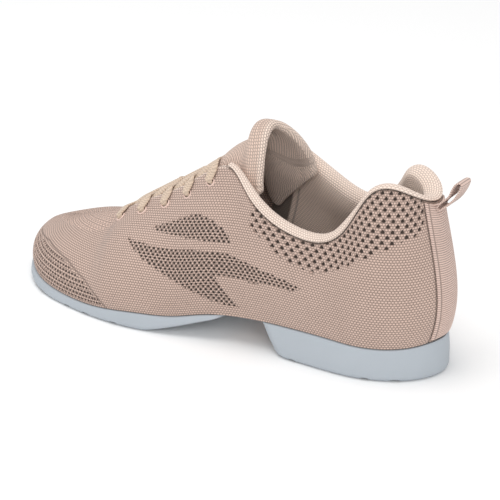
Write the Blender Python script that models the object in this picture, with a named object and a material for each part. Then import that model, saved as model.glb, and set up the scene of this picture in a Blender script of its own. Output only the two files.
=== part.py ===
# Women's knitted dance sneaker with a split sole, left shoe, standing empty on the floor.
#
# Metres, +Z up. +X is the outer side of the foot, -Y the toe, +Y the heel, and the floor is z = 0.
# The origin is on the floor under the middle of the heel tread.
#
# The upper is a ring of columns that stand side by side round the shoe. Each column is one curve
# that climbs from the feather line, where the upper meets the sole, to the rim: the collar, the
# throat edge, or the ridge of the toe where both sides meet. Every other piece takes its place
# from the same columns.

import bpy
import bmesh
import numpy as np
from collections import namedtuple
from math import cos, pi, sin

# Driving sizes
LENGTH = 0.262              # feather line, heel to toe
BALL_WIDTH = 0.0885         # feather line across the ball of the foot
HEEL_WIDTH = 0.060          # feather line across the heel
TOE_HEIGHT = 0.0305         # ridge over the toes, above the floor
INSTEP_HEIGHT = 0.0945      # top corner of the throat, outer side
DIP_HEIGHT = 0.0700         # lowest point of the collar seam, outer side
COLLAR_HEIGHT = 0.1005      # collar seam beside the heel tendon
WALL = 0.0022               # knitted upper with its backing
MARGIN = 0.012              # upper turned in under the foot
CLEARANCE = 0.0003          # between pieces that touch

FOREFOOT_SOLE = 0.0085      # forefoot sole, side wall at the toe joint
HEEL_SOLE = 0.0183          # heel sole, floor to feather line
ARCH_HEIGHT = 0.0170        # underside of the arch above the floor
SOLE_LEDGE = 0.0012         # sole beyond the feather line
SOLE_EDGE = 0.0012          # thickness left where the forefoot sole runs out
SOLE_CORNER = 0.008         # plan radius of the soles' corners at the arch
SOLE_ROUND = 0.0028         # radius of the soles' lower edge
TOE_SPRING = 0.0025         # lift of the tread at the toe
GROOVE_WIDTH = 0.0045
GROOVE_DEPTH = 0.0016

INSOLE = 0.0040
TONGUE_HEIGHT = 0.1165      # crest of the tongue's free end
TONGUE_PAD = 0.0048
TONGUE_ROOT = 0.0024        # tongue's thickness where it is sewn to the vamp
COLLAR_PAD = 0.0070         # padded collar beside the ankle
COLLAR_END_PAD = 0.0034     # padded collar at the throat
COLLAR_ROLL = 0.0046        # collar's roll above the seam
LINING = 0.0016             # lower edge of the collar lining
EYELETS = 5                 # a side
EYELET_LENGTH = 0.0058
EYELET_WIDTH = 0.0044
EYELET_SETBACK = 0.0072     # eyelet centre below the throat edge
LACE_WIDTH = 0.0056
LACE_THICKNESS = 0.0018
LACE_STACK = 0.30            # how far one set of runs lies above another, share of the thickness
STRIP_WIDTH = 0.0195        # ribbed strip up the back of the heel
STRIP_THICKNESS = 0.0011
LOOP_WIDTH = 0.0100         # pull loop's tape at the tip
LOOP_LENGTH = 0.0160
TAPE = 0.0011

HEEL_CENTRE = 0.165         # heel tread's middle, as a share of the length

WIDTHS = {"ball": BALL_WIDTH, "heel": HEEL_WIDTH}
HEIGHTS = {"toe": TOE_HEIGHT, "instep": INSTEP_HEIGHT, "dip": DIP_HEIGHT, "collar": COLLAR_HEIGHT}
RESTS = {"forefoot": FOREFOOT_SOLE, "arch": ARCH_HEIGHT, "heel": HEEL_SOLE}

# Feather line. along: share of the length from the heel. outer, inner: distance from the middle
# line, share of the width named. lift: height, share of the sole named. bulge and climb: the
# column's lower handle, out as a share of the width and up as a share of the column's height.
Feather = namedtuple("Feather", "name along width outer inner sole lift bulge climb")
FEATHER = (
    Feather("toe tip",     1.000, "ball", -.068, -.068, "forefoot", 1.10, .065, .62),
    Feather("toe corner",  0.970, "ball",  .185, -.300, "forefoot", 1.03, .062, .60),
    Feather("toe side",    0.900, "ball",  .380, -.432, "forefoot", 0.86, .056, .54),
    Feather("toe joint",   0.800, "ball",  .482, -.480, "forefoot", 0.70, .058, .46),
    Feather("ball",        0.700, "ball",  .525, -.475, "forefoot", 0.84, .066, .44),
    Feather("instep",      0.620, "ball",  .518, -.418, "forefoot", 1.12, .066, .42),
    Feather("lacing",      0.540, "ball",  .462, -.345, "forefoot", 1.27, .070, .42),
    Feather("throat top",  0.460, "ball",  .395, -.305, "arch",     0.88, .074, .40),
    Feather("slope",       0.380, "heel",  .533, -.442, "arch",     1.00, .090, .42),
    Feather("dip",         0.280, "heel",  .525, -.475, "heel",     1.00, .080, .42),
    Feather("rise",        0.185, "heel",  .527, -.508, "heel",     1.01, .080, .38),
    Feather("hump",        0.120, "heel",  .497, -.487, "heel",     0.97, .090, .34),
    Feather("heel side",   0.038, "heel",  .317, -.317, "heel",     1.01, .120, .32),
    Feather("heel back",   0.000, "heel",  .000,  .000, "heel",     1.12, .150, .30),
)

# Rim. along, outer and inner as above. rise: the rim's height on each side, share of the height
# named. lean, reach and fall: the column's upper handle, outward as a share of the width, toward
# the toe as a share of the length, and down as a share of the column's height.
Rim = namedtuple("Rim", "name along width outer inner height rise_outer rise_inner lean reach fall")
RIM = (
    Rim("toe tip",    0.920, "ball", -.062, -.062, "toe",    1.000, 1.000, .000,  .048, .02),
    Rim("toe corner", 0.903, "ball", -.056, -.056, "toe",    1.060, 1.060, .120,  .030, .02),
    Rim("toe side",   0.862, "ball", -.048, -.048, "toe",    1.190, 1.190, .220,  .010, .02),
    Rim("toe joint",  0.800, "ball", -.030, -.030, "toe",    1.380, 1.380, .250,  .000, .03),
    Rim("ball",       0.728, "ball",  .150, -.180, "toe",    1.720, 1.720, .190,  .000, .14),
    Rim("instep",     0.650, "ball",  .180, -.192, "toe",    2.110, 2.120, .160,  .000, .20),
    Rim("lacing",     0.555, "ball",  .205, -.214, "instep", 0.832, 0.845, .130,  .000, .24),
    Rim("throat top", 0.449, "ball",  .236, -.238, "instep", 1.000, 1.030, .090,  .010, .26),
    Rim("slope",      0.380, "heel",  .465, -.435, "dip",    1.180, 1.330, .050,  .000, .30),
    Rim("dip",        0.262, "heel",  .515, -.475, "dip",    0.990, 1.075, .050,  .000, .34),
    Rim("rise",       0.165, "heel",  .485, -.465, "dip",    1.105, 1.130, .075,  .000, .34),
    Rim("hump",       0.117, "heel",  .380, -.385, "collar", 0.985, 0.975, .120,  .000, .30),
    Rim("heel side",  0.049, "heel",  .245, -.245, "collar", 0.990, 0.965, .090, -.012, .34),
    Rim("heel back",  0.022, "heel",  .000,  .000, "collar", 0.930, 0.930, .000, -.020, .38),
)

# Free end of the tongue, from the throat to its rim. crest: the middle line. edge: where the
# sheet ends on each side, against the padded collar. along: share of the length. Heights are
# shares of the tongue's height. climb and spread are the handles of the arch between edge and
# crest, as shares of the arch's height and half width.
Arch = namedtuple("Arch", "name crest_along crest_height edge_along edge_height climb spread")
TONGUE_END = (
    Arch("shaft",    0.426, 0.972, 0.394, 0.700, .50, .62),
    Arch("free rim", 0.397, 1.000, 0.338, 0.725, .50, .58),
)

# Where columns start and stop being something, as shares of the length
THROAT_FRONT = 0.778        # ridge ends and the throat opens
THROAT_TOP = 0.449          # padded collar starts
THROAT_ARCH = 0.515         # from here up the tongue stands above the throat's edges
TONGUE_FRONT = 0.800        # tongue's root, under the vamp
ARCH_FRONT = 0.430          # forefoot sole runs out
ARCH_BACK = 0.352           # heel sole's upper front edge
HEEL_BREAST = 0.302         # heel sole's lower front edge
TREAD_BREAK = 0.600         # forefoot tread leaves the floor toward the arch
SPRING_BREAK = 0.840        # forefoot tread leaves the floor toward the toe
FIRST_EYELET = 0.722
LAST_EYELET = 0.486
FOREFOOT_GROOVES = (0.875, 0.790, 0.735, 0.660)
HEEL_GROOVES = (0.262, 0.100, 0.045)

ARCHING = 0.12              # how far the throat's arch follows the rim, share of its width
ARCHING_TOP = 0.48          # the same at the throat's top, where the tongue stands up
COLUMNS = 68                # round the upper
ROWS = 12                   # up each column


def y_of(along):
    return (HEEL_CENTRE - along) * LENGTH


def ease(x):
    x = np.clip(x, 0.0, 1.0)
    return x * x * (3.0 - 2.0 * x)


def closed_spline(knots, values, period):
    """Slopes of the smooth closed cubic through values at knots."""
    n = len(knots)
    step = np.diff(np.append(knots, knots[0] + period))
    matrix = np.zeros((n, n))
    right = np.zeros_like(values)
    for i in range(n):
        before, after = step[i - 1], step[i]
        matrix[i, i - 1] += 1.0 / before
        matrix[i, i] += 2.0 / before + 2.0 / after
        matrix[i, (i + 1) % n] += 1.0 / after
        right[i] = 3.0 * ((values[i] - values[i - 1]) / before ** 2
                          + (values[(i + 1) % n] - values[i]) / after ** 2)
    return np.linalg.solve(matrix, right)


class Columns:
    """The four handles of the column at any place t round the shoe. t is 0 at the toe tip, rises
    along the outer side to the heel back at half the period, and comes back along the inner."""

    def __init__(self):
        rows = [(f, r, 1) for f, r in zip(FEATHER, RIM)]
        rows += [(f, r, -1) for f, r in list(zip(FEATHER, RIM))[-2:0:-1]]
        data = []
        for f, r, side in rows:
            x = f.outer if side > 0 else f.inner
            foot = (x * WIDTHS[f.width], y_of(f.along), f.lift * RESTS[f.sole])
            x = r.outer if side > 0 else r.inner
            rise = r.rise_outer if side > 0 else r.rise_inner
            top = (x * WIDTHS[r.width], y_of(r.along), rise * HEIGHTS[r.height])
            height = top[2] - foot[2]
            low = (f.bulge * WIDTHS[f.width], f.climb * height)
            high = (side * r.lean * WIDTHS[r.width], -r.reach * LENGTH, -r.fall * height)
            data.append(foot + top + low + high)
        self.values = np.array(data)
        half = len(FEATHER)
        foot, top = self.values[:, 0:3], self.values[:, 3:6]
        span = (np.linalg.norm(np.roll(foot, -1, 0) - foot, axis=1)
                + 0.5 * np.linalg.norm(np.roll(top, -1, 0) - top, axis=1))
        span = (span + span[::-1]) / 2.0                    # both sides keep the same pace
        self.knots = np.concatenate([[0.0], np.cumsum(span)[:-1]])
        self.period = float(span.sum())
        self.half = self.period / 2.0
        self.row_t = {f.name: self.knots[i] for i, f in enumerate(FEATHER[:half])}
        self.slopes = closed_spline(self.knots, self.values, self.period)
        self.ridge_t = 0.0
        self.ridge_t = self.at_along(THROAT_FRONT, top=True)

    def raw(self, t):
        t = np.mod(np.asarray(t, float), self.period)
        n = len(self.knots)
        ends = np.append(self.knots, self.period)
        i = np.clip(np.searchsorted(ends, t, "right") - 1, 0, n - 1)
        j = (i + 1) % n
        step = (ends[i + 1] - ends[i])[..., None]
        u = ((t - ends[i])[..., None]) / step
        return ((2 * u ** 3 - 3 * u ** 2 + 1) * self.values[i]
                + (u ** 3 - 2 * u ** 2 + u) * step * self.slopes[i]
                + (3 * u ** 2 - 2 * u ** 3) * self.values[j]
                + (u ** 3 - u ** 2) * step * self.slopes[j])

    def handles(self, t):
        t = np.atleast_1d(np.asarray(t, float))
        now = self.raw(t)
        gap = 1e-4 * self.period
        along = self.raw(t + gap)[:, 0:2] - self.raw(t - gap)[:, 0:2]
        out = np.stack([along[:, 1], -along[:, 0]], 1)
        out /= np.linalg.norm(out, axis=1)[:, None]
        foot, top = now[:, 0:3].copy(), now[:, 3:6].copy()
        near_toe = np.minimum(np.mod(t, self.period), np.mod(-t, self.period)) <= self.ridge_t + 1e-9
        mirror = self.raw(-t)[:, 3:6]
        top[near_toe] = (top[near_toe] + mirror[near_toe]) / 2.0    # both sides share the ridge
        low = foot.copy()
        low[:, 0:2] += out * now[:, 6:7]
        low[:, 2] += now[:, 7]
        return foot, low, top + now[:, 8:11], top, out

    def at_along(self, along, top=False):
        """The outer place whose foot, or rim, is this far from the heel."""
        lower, upper = 0.0, self.half
        column = 4 if top else 1
        for _ in range(50):
            middle = (lower + upper) / 2.0
            if self.raw(middle)[column] < y_of(along):
                lower = middle
            else:
                upper = middle
        return (lower + upper) / 2.0

    def skin(self, t, v, depth=0.0):
        """Point on the upper's outer face at height v of column t, moved in by depth."""
        t, v, depth = np.broadcast_arrays(np.asarray(t, float), np.asarray(v, float),
                                          np.asarray(depth, float))
        shape = t.shape
        t, v, depth = t.ravel(), v.ravel(), depth.ravel()
        here = self.curve(t, v)
        gap = 5e-4 * self.period
        inside = np.clip(v, 0.02, 0.98)
        across = self.curve(t + gap, inside) - self.curve(t - gap, inside)
        up = self.curve(t, inside + 0.01) - self.curve(t, inside - 0.01)
        normal = np.cross(across, up)
        normal /= np.linalg.norm(normal, axis=1)[:, None]
        return (here - normal * depth[:, None]).reshape(shape + (3,))

    def curve(self, t, v):
        a, b, c, d, _ = self.handles(t)
        v = np.asarray(v, float)[:, None]
        return ((1 - v) ** 3 * a + 3 * (1 - v) ** 2 * v * b + 3 * (1 - v) * v ** 2 * c + v ** 3 * d)

    def plan(self, t, offset, height=None):
        """Feather line moved outward by offset, at its own height or the one given."""
        foot, _, _, _, out = self.handles(t)
        foot[:, 0:2] += out * np.asarray(offset, float).reshape(-1, 1)
        if height is not None:
            foot[:, 2] = height
        return foot


COLUMN = Columns()


def share_of(y):
    return HEEL_CENTRE - y / LENGTH


def material(name, colour, roughness):
    made = bpy.data.materials.new(name)
    made.use_nodes = True
    shader = made.node_tree.nodes["Principled BSDF"]
    shader.inputs["Base Color"].default_value = (*colour, 1.0)
    shader.inputs["Roughness"].default_value = roughness
    shader.inputs["Metallic"].default_value = 0.0
    made.diffuse_color = (*colour, 1.0)
    return made


KNIT = material("knit", (0.56, 0.39, 0.33), 0.85)
PADDING = material("padding", (0.68, 0.50, 0.43), 0.85)
RIBBON = material("ribbon", (0.50, 0.35, 0.30), 0.80)
CORD = material("cord", (0.66, 0.52, 0.40), 0.80)
FOAM = material("foam", (0.30, 0.27, 0.28), 0.90)
RUBBER = material("rubber", (0.47, 0.55, 0.64), 0.60)


def solid(name, points, faces, look):
    """One closed mesh object from points and faces, with its faces turned outward."""
    mesh = bpy.data.meshes.new(name)
    mesh.from_pydata([tuple(p) for p in points], [], faces)
    work = bmesh.new()
    work.from_mesh(mesh)
    bmesh.ops.remove_doubles(work, verts=work.verts, dist=1e-6)
    bmesh.ops.dissolve_degenerate(work, edges=work.edges, dist=1e-6)
    bmesh.ops.triangulate(work, faces=[f for f in work.faces if len(f.verts) > 4])
    bmesh.ops.recalc_face_normals(work, faces=work.faces)
    if work.calc_volume(signed=True) < 0:
        bmesh.ops.reverse_faces(work, faces=work.faces)
    work.to_mesh(mesh)
    work.free()
    mesh.shade_smooth()
    mesh.set_sharp_from_angle(angle=pi / 4)
    mesh.materials.append(look)
    made = bpy.data.objects.new(name, mesh)
    bpy.context.scene.collection.objects.link(made)
    return made


def loft(name, sections, look):
    """A solid through closed sections with the same number of points, capped at both ends."""
    count = len(sections[0])
    points = [p for section in sections for p in section]
    faces = []
    for i in range(len(sections) - 1):
        for j in range(count):
            k = (j + 1) % count
            faces.append((i * count + j, i * count + k, (i + 1) * count + k, (i + 1) * count + j))
    faces.append(tuple(range(count)))
    faces.append(tuple((len(sections) - 1) * count + j for j in reversed(range(count))))
    return solid(name, points, faces, look)


def stack(name, rings, look):
    """A solid from plan rings, top to bottom. Each ring is two arrays of points that face each
    other across the shoe, outer and inner, and each end face is made of bands across."""
    count = len(rings[0][0])
    points, faces = [], []
    for outer, inner in rings:
        points += [*outer, *inner]
    size = 2 * count
    loop = list(range(count)) + [count + i for i in reversed(range(count))]
    for r in range(len(rings) - 1):
        for a, b in zip(loop, loop[1:] + loop[:1]):
            faces.append((r * size + a, r * size + b, (r + 1) * size + b, (r + 1) * size + a))
    for r in (0, len(rings) - 1):
        for i in range(count - 1):
            face = (i, i + 1, count + i + 1, count + i)
            face = face if r else face[::-1]
            faces.append(tuple(r * size + k for k in face))
    return solid(name, points, faces, look)


def cut(target, cutter):
    cutter.hide_render = True
    cutter.display_type = "WIRE"
    modifier = target.modifiers.new("cut", "BOOLEAN")
    modifier.operation = "DIFFERENCE"
    modifier.solver = "EXACT"
    modifier.object = cutter


def eyelet_places():
    """Place round the shoe and height up the column of each outer eyelet, toe to instep."""
    places = []
    for i in range(EYELETS):
        along = FIRST_EYELET + (LAST_EYELET - FIRST_EYELET) * i / (EYELETS - 1)
        t = COLUMN.at_along(along, top=True)
        v = np.linspace(1.0, 0.5, 60)
        line = COLUMN.skin(np.full(60, t), v)
        run = np.concatenate([[0.0], np.cumsum(np.linalg.norm(np.diff(line, axis=0), axis=1))])
        places.append((t, float(np.interp(EYELET_SETBACK, run, v))))
    return places


def side_places():
    """Places of the outer side's columns, with one at the throat's front and one at its top."""
    stops = [0.0, COLUMN.ridge_t, COLUMN.at_along(THROAT_TOP, top=True), COLUMN.half]
    runs = [np.array([0.0])]
    for low, high in zip(stops, stops[1:]):
        count = max(4, round(COLUMNS * (high - low) / COLUMN.period))
        runs.append(np.linspace(low, high, count + 1)[1:])
    return np.concatenate(runs)


def make_upper():
    t = side_places()
    places = np.concatenate([t, -t[-2:0:-1]])
    n = len(places)
    v = np.linspace(0.0, 1.0, ROWS + 1)
    grid = COLUMN.skin(places[:, None], v[None, :])
    foot, _, _, _, out = COLUMN.handles(places)
    alongs = share_of(foot[:, 1])
    arch = (alongs < ARCH_FRONT + 0.012) & (alongs > ARCH_BACK - 0.022)
    rows = []
    for step in (1.0, 0.5, 0.12):
        row = foot.copy()
        row[:, 0:2] -= out * MARGIN * step
        mirror = foot[(-np.arange(n)) % n]
        middle = (foot + mirror) / 2.0
        row[arch] = foot[arch] + (middle[arch] - foot[arch]) * step
        row[:, 2] = [feather_height(a) for a in share_of(row[:, 1])]
        rows.append(row)
    points, faces = [], []
    for row in rows:
        points += list(row)
    for j in range(ROWS + 1):
        points += list(grid[:, j])
    levels = len(rows) + ROWS + 1
    for j in range(levels - 1):
        for i in range(n):
            k = (i + 1) % n
            faces.append((j * n + i, j * n + k, (j + 1) * n + k, (j + 1) * n + i))
    mesh = bpy.data.meshes.new("upper")
    mesh.from_pydata([tuple(p) for p in points], [], faces)
    work = bmesh.new()
    work.from_mesh(mesh)
    bmesh.ops.remove_doubles(work, verts=work.verts, dist=2e-5)
    bmesh.ops.dissolve_degenerate(work, edges=work.edges, dist=1e-6)
    bmesh.ops.recalc_face_normals(work, faces=work.faces)
    heel = max(work.faces, key=lambda f: f.calc_center_median().y)
    if heel.normal.y < 0:
        bmesh.ops.reverse_faces(work, faces=work.faces)
    work.to_mesh(mesh)
    work.free()
    mesh.shade_smooth()
    mesh.materials.append(KNIT)
    upper = bpy.data.objects.new("upper", mesh)
    bpy.context.scene.collection.objects.link(upper)
    wall = upper.modifiers.new("wall", "SOLIDIFY")
    wall.thickness = WALL
    wall.offset = -1.0
    wall.use_rim = True
    wall.use_even_offset = False
    cut(upper, eyelet_cutter())
    return upper


def eyelet_cutter():
    """Oval prisms through the wall at every eyelet, all in one mesh."""
    points, faces = [], []
    sides = 10
    for t, v in eyelet_places():
        for place in (t, -t):
            centre = COLUMN.skin(place, v)
            inward = COLUMN.skin(place, v, 1e-3) - centre
            inward /= np.linalg.norm(inward)
            up = COLUMN.skin(place, v + 0.01) - COLUMN.skin(place, v - 0.01)
            up /= np.linalg.norm(up)
            across = np.cross(inward, up)
            start = len(points)
            for depth in (-2.0 * WALL, 2.5 * WALL):
                for k in range(sides):
                    angle = 2 * pi * k / sides
                    points.append(centre + inward * depth + across * cos(angle) * EYELET_LENGTH / 2
                                  + up * sin(angle) * EYELET_WIDTH / 2)
            for k in range(sides):
                m = (k + 1) % sides
                faces.append((start + k, start + m, start + sides + m, start + sides + k))
            faces.append(tuple(start + k for k in reversed(range(sides))))
            faces.append(tuple(start + sides + k for k in range(sides)))
    return solid("eyelet_cutter", points, faces, KNIT)


def corner(points, end_y):
    """How far a sole's outline is drawn in near its straight end, for a round corner."""
    away = np.abs(points[:, 1] - end_y)
    near = np.clip(SOLE_CORNER - away, 0.0, SOLE_CORNER)
    return SOLE_CORNER - np.sqrt(SOLE_CORNER ** 2 - near ** 2)


def spread(count):
    """Shares from 0 to 1, closer together near both ends."""
    share = np.linspace(0.0, 1.0, count)
    return 0.45 * share + 0.55 * (1.0 - np.cos(pi * share)) / 2.0


def sole_ring(t, end_t, offset, height):
    """Two facing lines of a sole's outline. height is a function of the share of the length."""
    end_y = float(COLUMN.handles(end_t)[0][0, 1])
    ring = []
    for places in (t, -t):
        line = COLUMN.plan(places, 0.0)
        line = COLUMN.plan(places, offset - corner(line, end_y))
        line[:, 2] = [height(a) for a in share_of(line[:, 1])]
        ring.append(line)
    return ring


def feather_height(along):
    foot = COLUMN.handles(np.linspace(0.0, COLUMN.half, 160))[0]
    order = np.argsort(share_of(foot[:, 1]))
    return float(np.interp(along, share_of(foot[:, 1])[order], foot[order, 2]))


def forefoot_tread(along):
    toe = TOE_SPRING * ease((along - SPRING_BREAK) / (1.0 - SPRING_BREAK))
    back = max(0.0, (TREAD_BREAK - along) / (TREAD_BREAK - ARCH_FRONT)) ** 1.2
    rest = feather_height(ARCH_FRONT) - CLEARANCE - SOLE_EDGE
    return float(toe + rest * back)


def thick_band(top, bottom, share):
    """Height between two surfaces, never closer than a share of the lower edge's radius."""
    return lambda along: bottom(along) + (top(along) - bottom(along)) * share


def groove_cutter(name, shares, reach, floor):
    """Arched bars that cross the sole and cut its tread. Each bows toward the toe."""
    points, faces = [], []
    steps = 10
    for share in shares:
        y = y_of(share)
        start = len(points)
        for k in range(steps + 1):
            across = -1.0 + 2.0 * k / steps
            x = across * reach
            bow = -0.06 * reach * (1.0 - across ** 2)
            base = floor(share)
            for dy, z in ((-0.5, -1.0), (0.5, -1.0), (0.32, 1.0), (-0.32, 1.0)):
                points.append((x, y + bow + dy * GROOVE_WIDTH,
                               base + z * GROOVE_DEPTH))
        for k in range(steps):
            for j in range(4):
                m = (j + 1) % 4
                faces.append((start + 4 * k + j, start + 4 * k + m,
                              start + 4 * (k + 1) + m, start + 4 * (k + 1) + j))
        faces.append(tuple(start + j for j in range(4)))
        faces.append(tuple(start + 4 * steps + j for j in reversed(range(4))))
    return solid(name, points, faces, RUBBER)


def make_forefoot_sole():
    end = COLUMN.at_along(ARCH_FRONT)
    t = end * spread(25)

    def top(along):
        return feather_height(along) - CLEARANCE

    round_share = SOLE_ROUND / FOREFOOT_SOLE
    rings = [sole_ring(t, end, SOLE_LEDGE, top),
             sole_ring(t, end, SOLE_LEDGE * 1.8, thick_band(top, forefoot_tread, 0.62)),
             sole_ring(t, end, SOLE_LEDGE * 2.0, thick_band(top, forefoot_tread, round_share)),
             sole_ring(t, end, SOLE_LEDGE * 1.6 - 0.35 * SOLE_ROUND,
                       thick_band(top, forefoot_tread, 0.28 * round_share)),
             sole_ring(t, end, SOLE_LEDGE * 1.6 - SOLE_ROUND, forefoot_tread)]
    sole = stack("forefoot_sole", rings, RUBBER)
    cut(sole, groove_cutter("forefoot_groove_cutter", FOREFOOT_GROOVES, BALL_WIDTH * 0.75,
                            forefoot_tread))
    return sole


def make_heel_sole():
    upper_end, lower_end = COLUMN.at_along(ARCH_BACK), COLUMN.at_along(HEEL_BREAST)
    share = spread(23)

    def top(along):
        return feather_height(along) - CLEARANCE

    def floor(along):
        return 0.0

    rings = []
    round_share = SOLE_ROUND / HEEL_SOLE
    for offset, height in ((SOLE_LEDGE, 1.0), (SOLE_LEDGE * 1.6, 0.62), (SOLE_LEDGE * 1.6, 0.30),
                           (SOLE_LEDGE * 1.3, round_share),
                           (SOLE_LEDGE - 0.35 * SOLE_ROUND, 0.28 * round_share),
                           (SOLE_LEDGE - SOLE_ROUND, 0.0)):
        end = lower_end + (upper_end - lower_end) * height ** 1.5
        t = end + (COLUMN.half - end) * share
        rings.append(sole_ring(t, end, offset, thick_band(top, floor, height)))
    sole = stack("heel_sole", rings, RUBBER)
    cut(sole, groove_cutter("heel_groove_cutter", HEEL_GROOVES, HEEL_WIDTH * 0.75, floor))
    return sole


def make_insole():
    t = np.linspace(0.0, COLUMN.half, 30)
    inset = WALL + 4.0 * CLEARANCE

    def base(along):
        return feather_height(along) + WALL + CLEARANCE

    rings = []
    for offset, lift in ((1.6, 1.0), (1.0, 0.72), (1.0, 0.0)):
        ring = []
        for places in (t, -t):
            line = COLUMN.plan(places, -inset * offset)
            line[:, 2] = [base(a) + INSOLE * lift for a in share_of(line[:, 1])]
            ring.append(line)
        rings.append(ring)
    return stack("insole", rings, FOAM)


def collar_pad(place):
    """Thickness of the padded collar at a place round the shoe."""
    start = COLUMN.at_along(THROAT_TOP, top=True)
    from_end = (COLUMN.half - abs(COLUMN.half - place % COLUMN.period) - start)
    share = ease(from_end / (COLUMN.half - start) / 0.45)
    return COLLAR_END_PAD + (COLLAR_PAD - COLLAR_END_PAD) * float(share)


def make_collar_lining():
    """Padded collar: a roll that sits on the upper's rim and a lining that thins out below it."""
    start = COLUMN.at_along(THROAT_TOP, top=True)
    outer = side_places()
    outer = outer[outer > start - 1e-9]
    sections = []
    for place in [*outer, *(COLUMN.period - outer[-2::-1])]:
        top = COLUMN.skin(place, 1.0)
        normal = top - COLUMN.skin(place, 1.0, 1.0)
        rim = COLUMN.skin(place + 1e-3, 1.0) - COLUMN.skin(place - 1e-3, 1.0)
        rise = np.cross(normal, rim)
        rise *= (1.0 if rise[2] > 0 else -1.0) / np.linalg.norm(rise)
        pad = collar_pad(place)
        low = ease((INSTEP_HEIGHT - top[2]) / (INSTEP_HEIGHT - DIP_HEIGHT) * 1.4)
        roll = COLLAR_ROLL * (0.62 + 0.38 * low)
        skin = WALL + 1.5 * CLEARANCE

        def at(depth, up):
            return top - normal * depth + rise * up

        section = [at(-0.7 * CLEARANCE, CLEARANCE), at(-2.0 * CLEARANCE, 0.45 * roll),
                   at(0.18 * pad, 0.88 * roll),
                   at(0.55 * pad, roll), at(0.9 * pad + 0.4 * WALL, 0.72 * roll),
                   at(pad + WALL, 0.1 * roll)]
        levels = np.arange(ROWS // 2, ROWS + 1) / ROWS          # the upper's own rows
        swell = ease((levels[-2:0:-1] - levels[0]) / (levels[-2] - levels[0]))
        section += list(COLUMN.skin(place, levels[-2:0:-1], skin + LINING + (pad - LINING) * swell))
        section += list(COLUMN.skin(place, levels[0], [skin + LINING, skin]))
        section += list(COLUMN.skin(place, levels[1:], skin))
        section += [at(skin, CLEARANCE)]
        sections.append(section)
    return loft("collar_lining", sections, PADDING)


def bezier(a, b, c, d, u):
    u = np.asarray(u, float)[:, None]
    return (1 - u) ** 3 * a + 3 * (1 - u) ** 2 * u * b + 3 * (1 - u) * u ** 2 * c + u ** 3 * d


def bridge(t, u, depth):
    """Arch over the throat from outer rim to inner at place t, as points at shares u of the way.
    depth is taken off all along it, so the tongue and the laces follow the same arch."""
    outer, inner = COLUMN.skin(t, 1.0, depth), COLUMN.skin(-t, 1.0, depth)
    rises = []
    stand = ease((THROAT_ARCH - share_of(COLUMN.handles(t)[3][0, 1])) / (THROAT_ARCH - THROAT_TOP))
    arching = ARCHING + (ARCHING_TOP - ARCHING) * float(stand)
    for place in (t, -t):
        rise = COLUMN.skin(place, 1.0) - COLUMN.skin(place, 0.96)
        rises.append(rise / np.linalg.norm(rise))
    width = np.linalg.norm(outer - inner)
    return bezier(outer, outer + rises[0] * width * arching, inner + rises[1] * width * arching, inner, u)


def beside_collar(along, height, side):
    """Point just clear of the padded collar's inner face, at this height where it has one."""
    t = COLUMN.at_along(along, top=True)
    place = t if side > 0 else COLUMN.period - t
    depth = WALL + 4.5 * CLEARANCE + collar_pad(place)
    climb = np.linspace(0.5, 1.0, 40)
    face = COLUMN.skin(np.full(40, place), climb, depth)
    return COLUMN.skin(place, float(np.interp(height, face[:, 2], climb)), depth)


def tongue_lines():
    """Lines across the tongue's upper face, from its root to its free rim."""
    skin = WALL + CLEARANCE
    tuck = np.array([ROWS - 2, ROWS - 1]) / ROWS
    root = COLUMN.at_along(TONGUE_FRONT, top=True)
    eyelet = COLUMN.at_along(LAST_EYELET, top=True)
    last = COLUMN.at_along(THROAT_TOP, top=True)
    under = np.linspace(tuck[0], 1.0, 7)
    lines = []
    for t, sewn in ((root, skin + 5.0 * CLEARANCE), (COLUMN.ridge_t, skin + 3.0 * CLEARANCE)):
        lines.append(np.vstack([COLUMN.skin(t, under, sewn), COLUMN.skin(-t, under[-2::-1], sewn)]))
    outer = side_places()
    for t in outer[(outer > COLUMN.ridge_t + 1e-9) & (outer < last + 1e-9)]:
        beside = float(ease((t - eyelet) / (last - eyelet)))
        depth = skin + (COLLAR_END_PAD + 3.0 * CLEARANCE) * beside
        line = list(COLUMN.skin(t, tuck, depth))
        line += list(bridge(t, np.linspace(0.0, 1.0, 9), depth))
        line += list(COLUMN.skin(-t, tuck[::-1], depth))
        lines.append(np.array(line))
    for arch in TONGUE_END:
        crest = np.array((0.0, y_of(arch.crest_along), arch.crest_height * TONGUE_HEIGHT))
        halves = []
        for side in (1, -1):
            edge = beside_collar(arch.edge_along, arch.edge_height * TONGUE_HEIGHT, side)
            lower = edge + np.array((0.0, 0.0, arch.climb * (crest[2] - edge[2])))
            upper = crest + np.array((arch.spread * edge[0], 0.0, 0.0))
            halves.append(bezier(edge, lower, upper, crest, np.linspace(0.0, 1.0, 7)))
        lines.append(np.vstack([halves[0], halves[1][-2::-1]]))
    free = smooth_lines(np.array(lines[-4:]), 3)[3:]        # from the throat's top to the rim
    return np.vstack([lines[:-3], free])


def smooth_lines(lines, times):
    """More lines between the given ones, on a smooth curve through them."""
    count = len(lines)
    where = np.linspace(0, count - 1, (count - 1) * times + 1)
    slope = np.gradient(lines, axis=0)
    made = []
    for s in where:
        i = min(int(s), count - 2)
        u = s - i
        made.append((2 * u ** 3 - 3 * u ** 2 + 1) * lines[i] + (u ** 3 - 2 * u ** 2 + u) * slope[i]
                    + (3 * u ** 2 - 2 * u ** 3) * lines[i + 1] + (u ** 3 - u ** 2) * slope[i + 1])
    return np.array(made)


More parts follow.
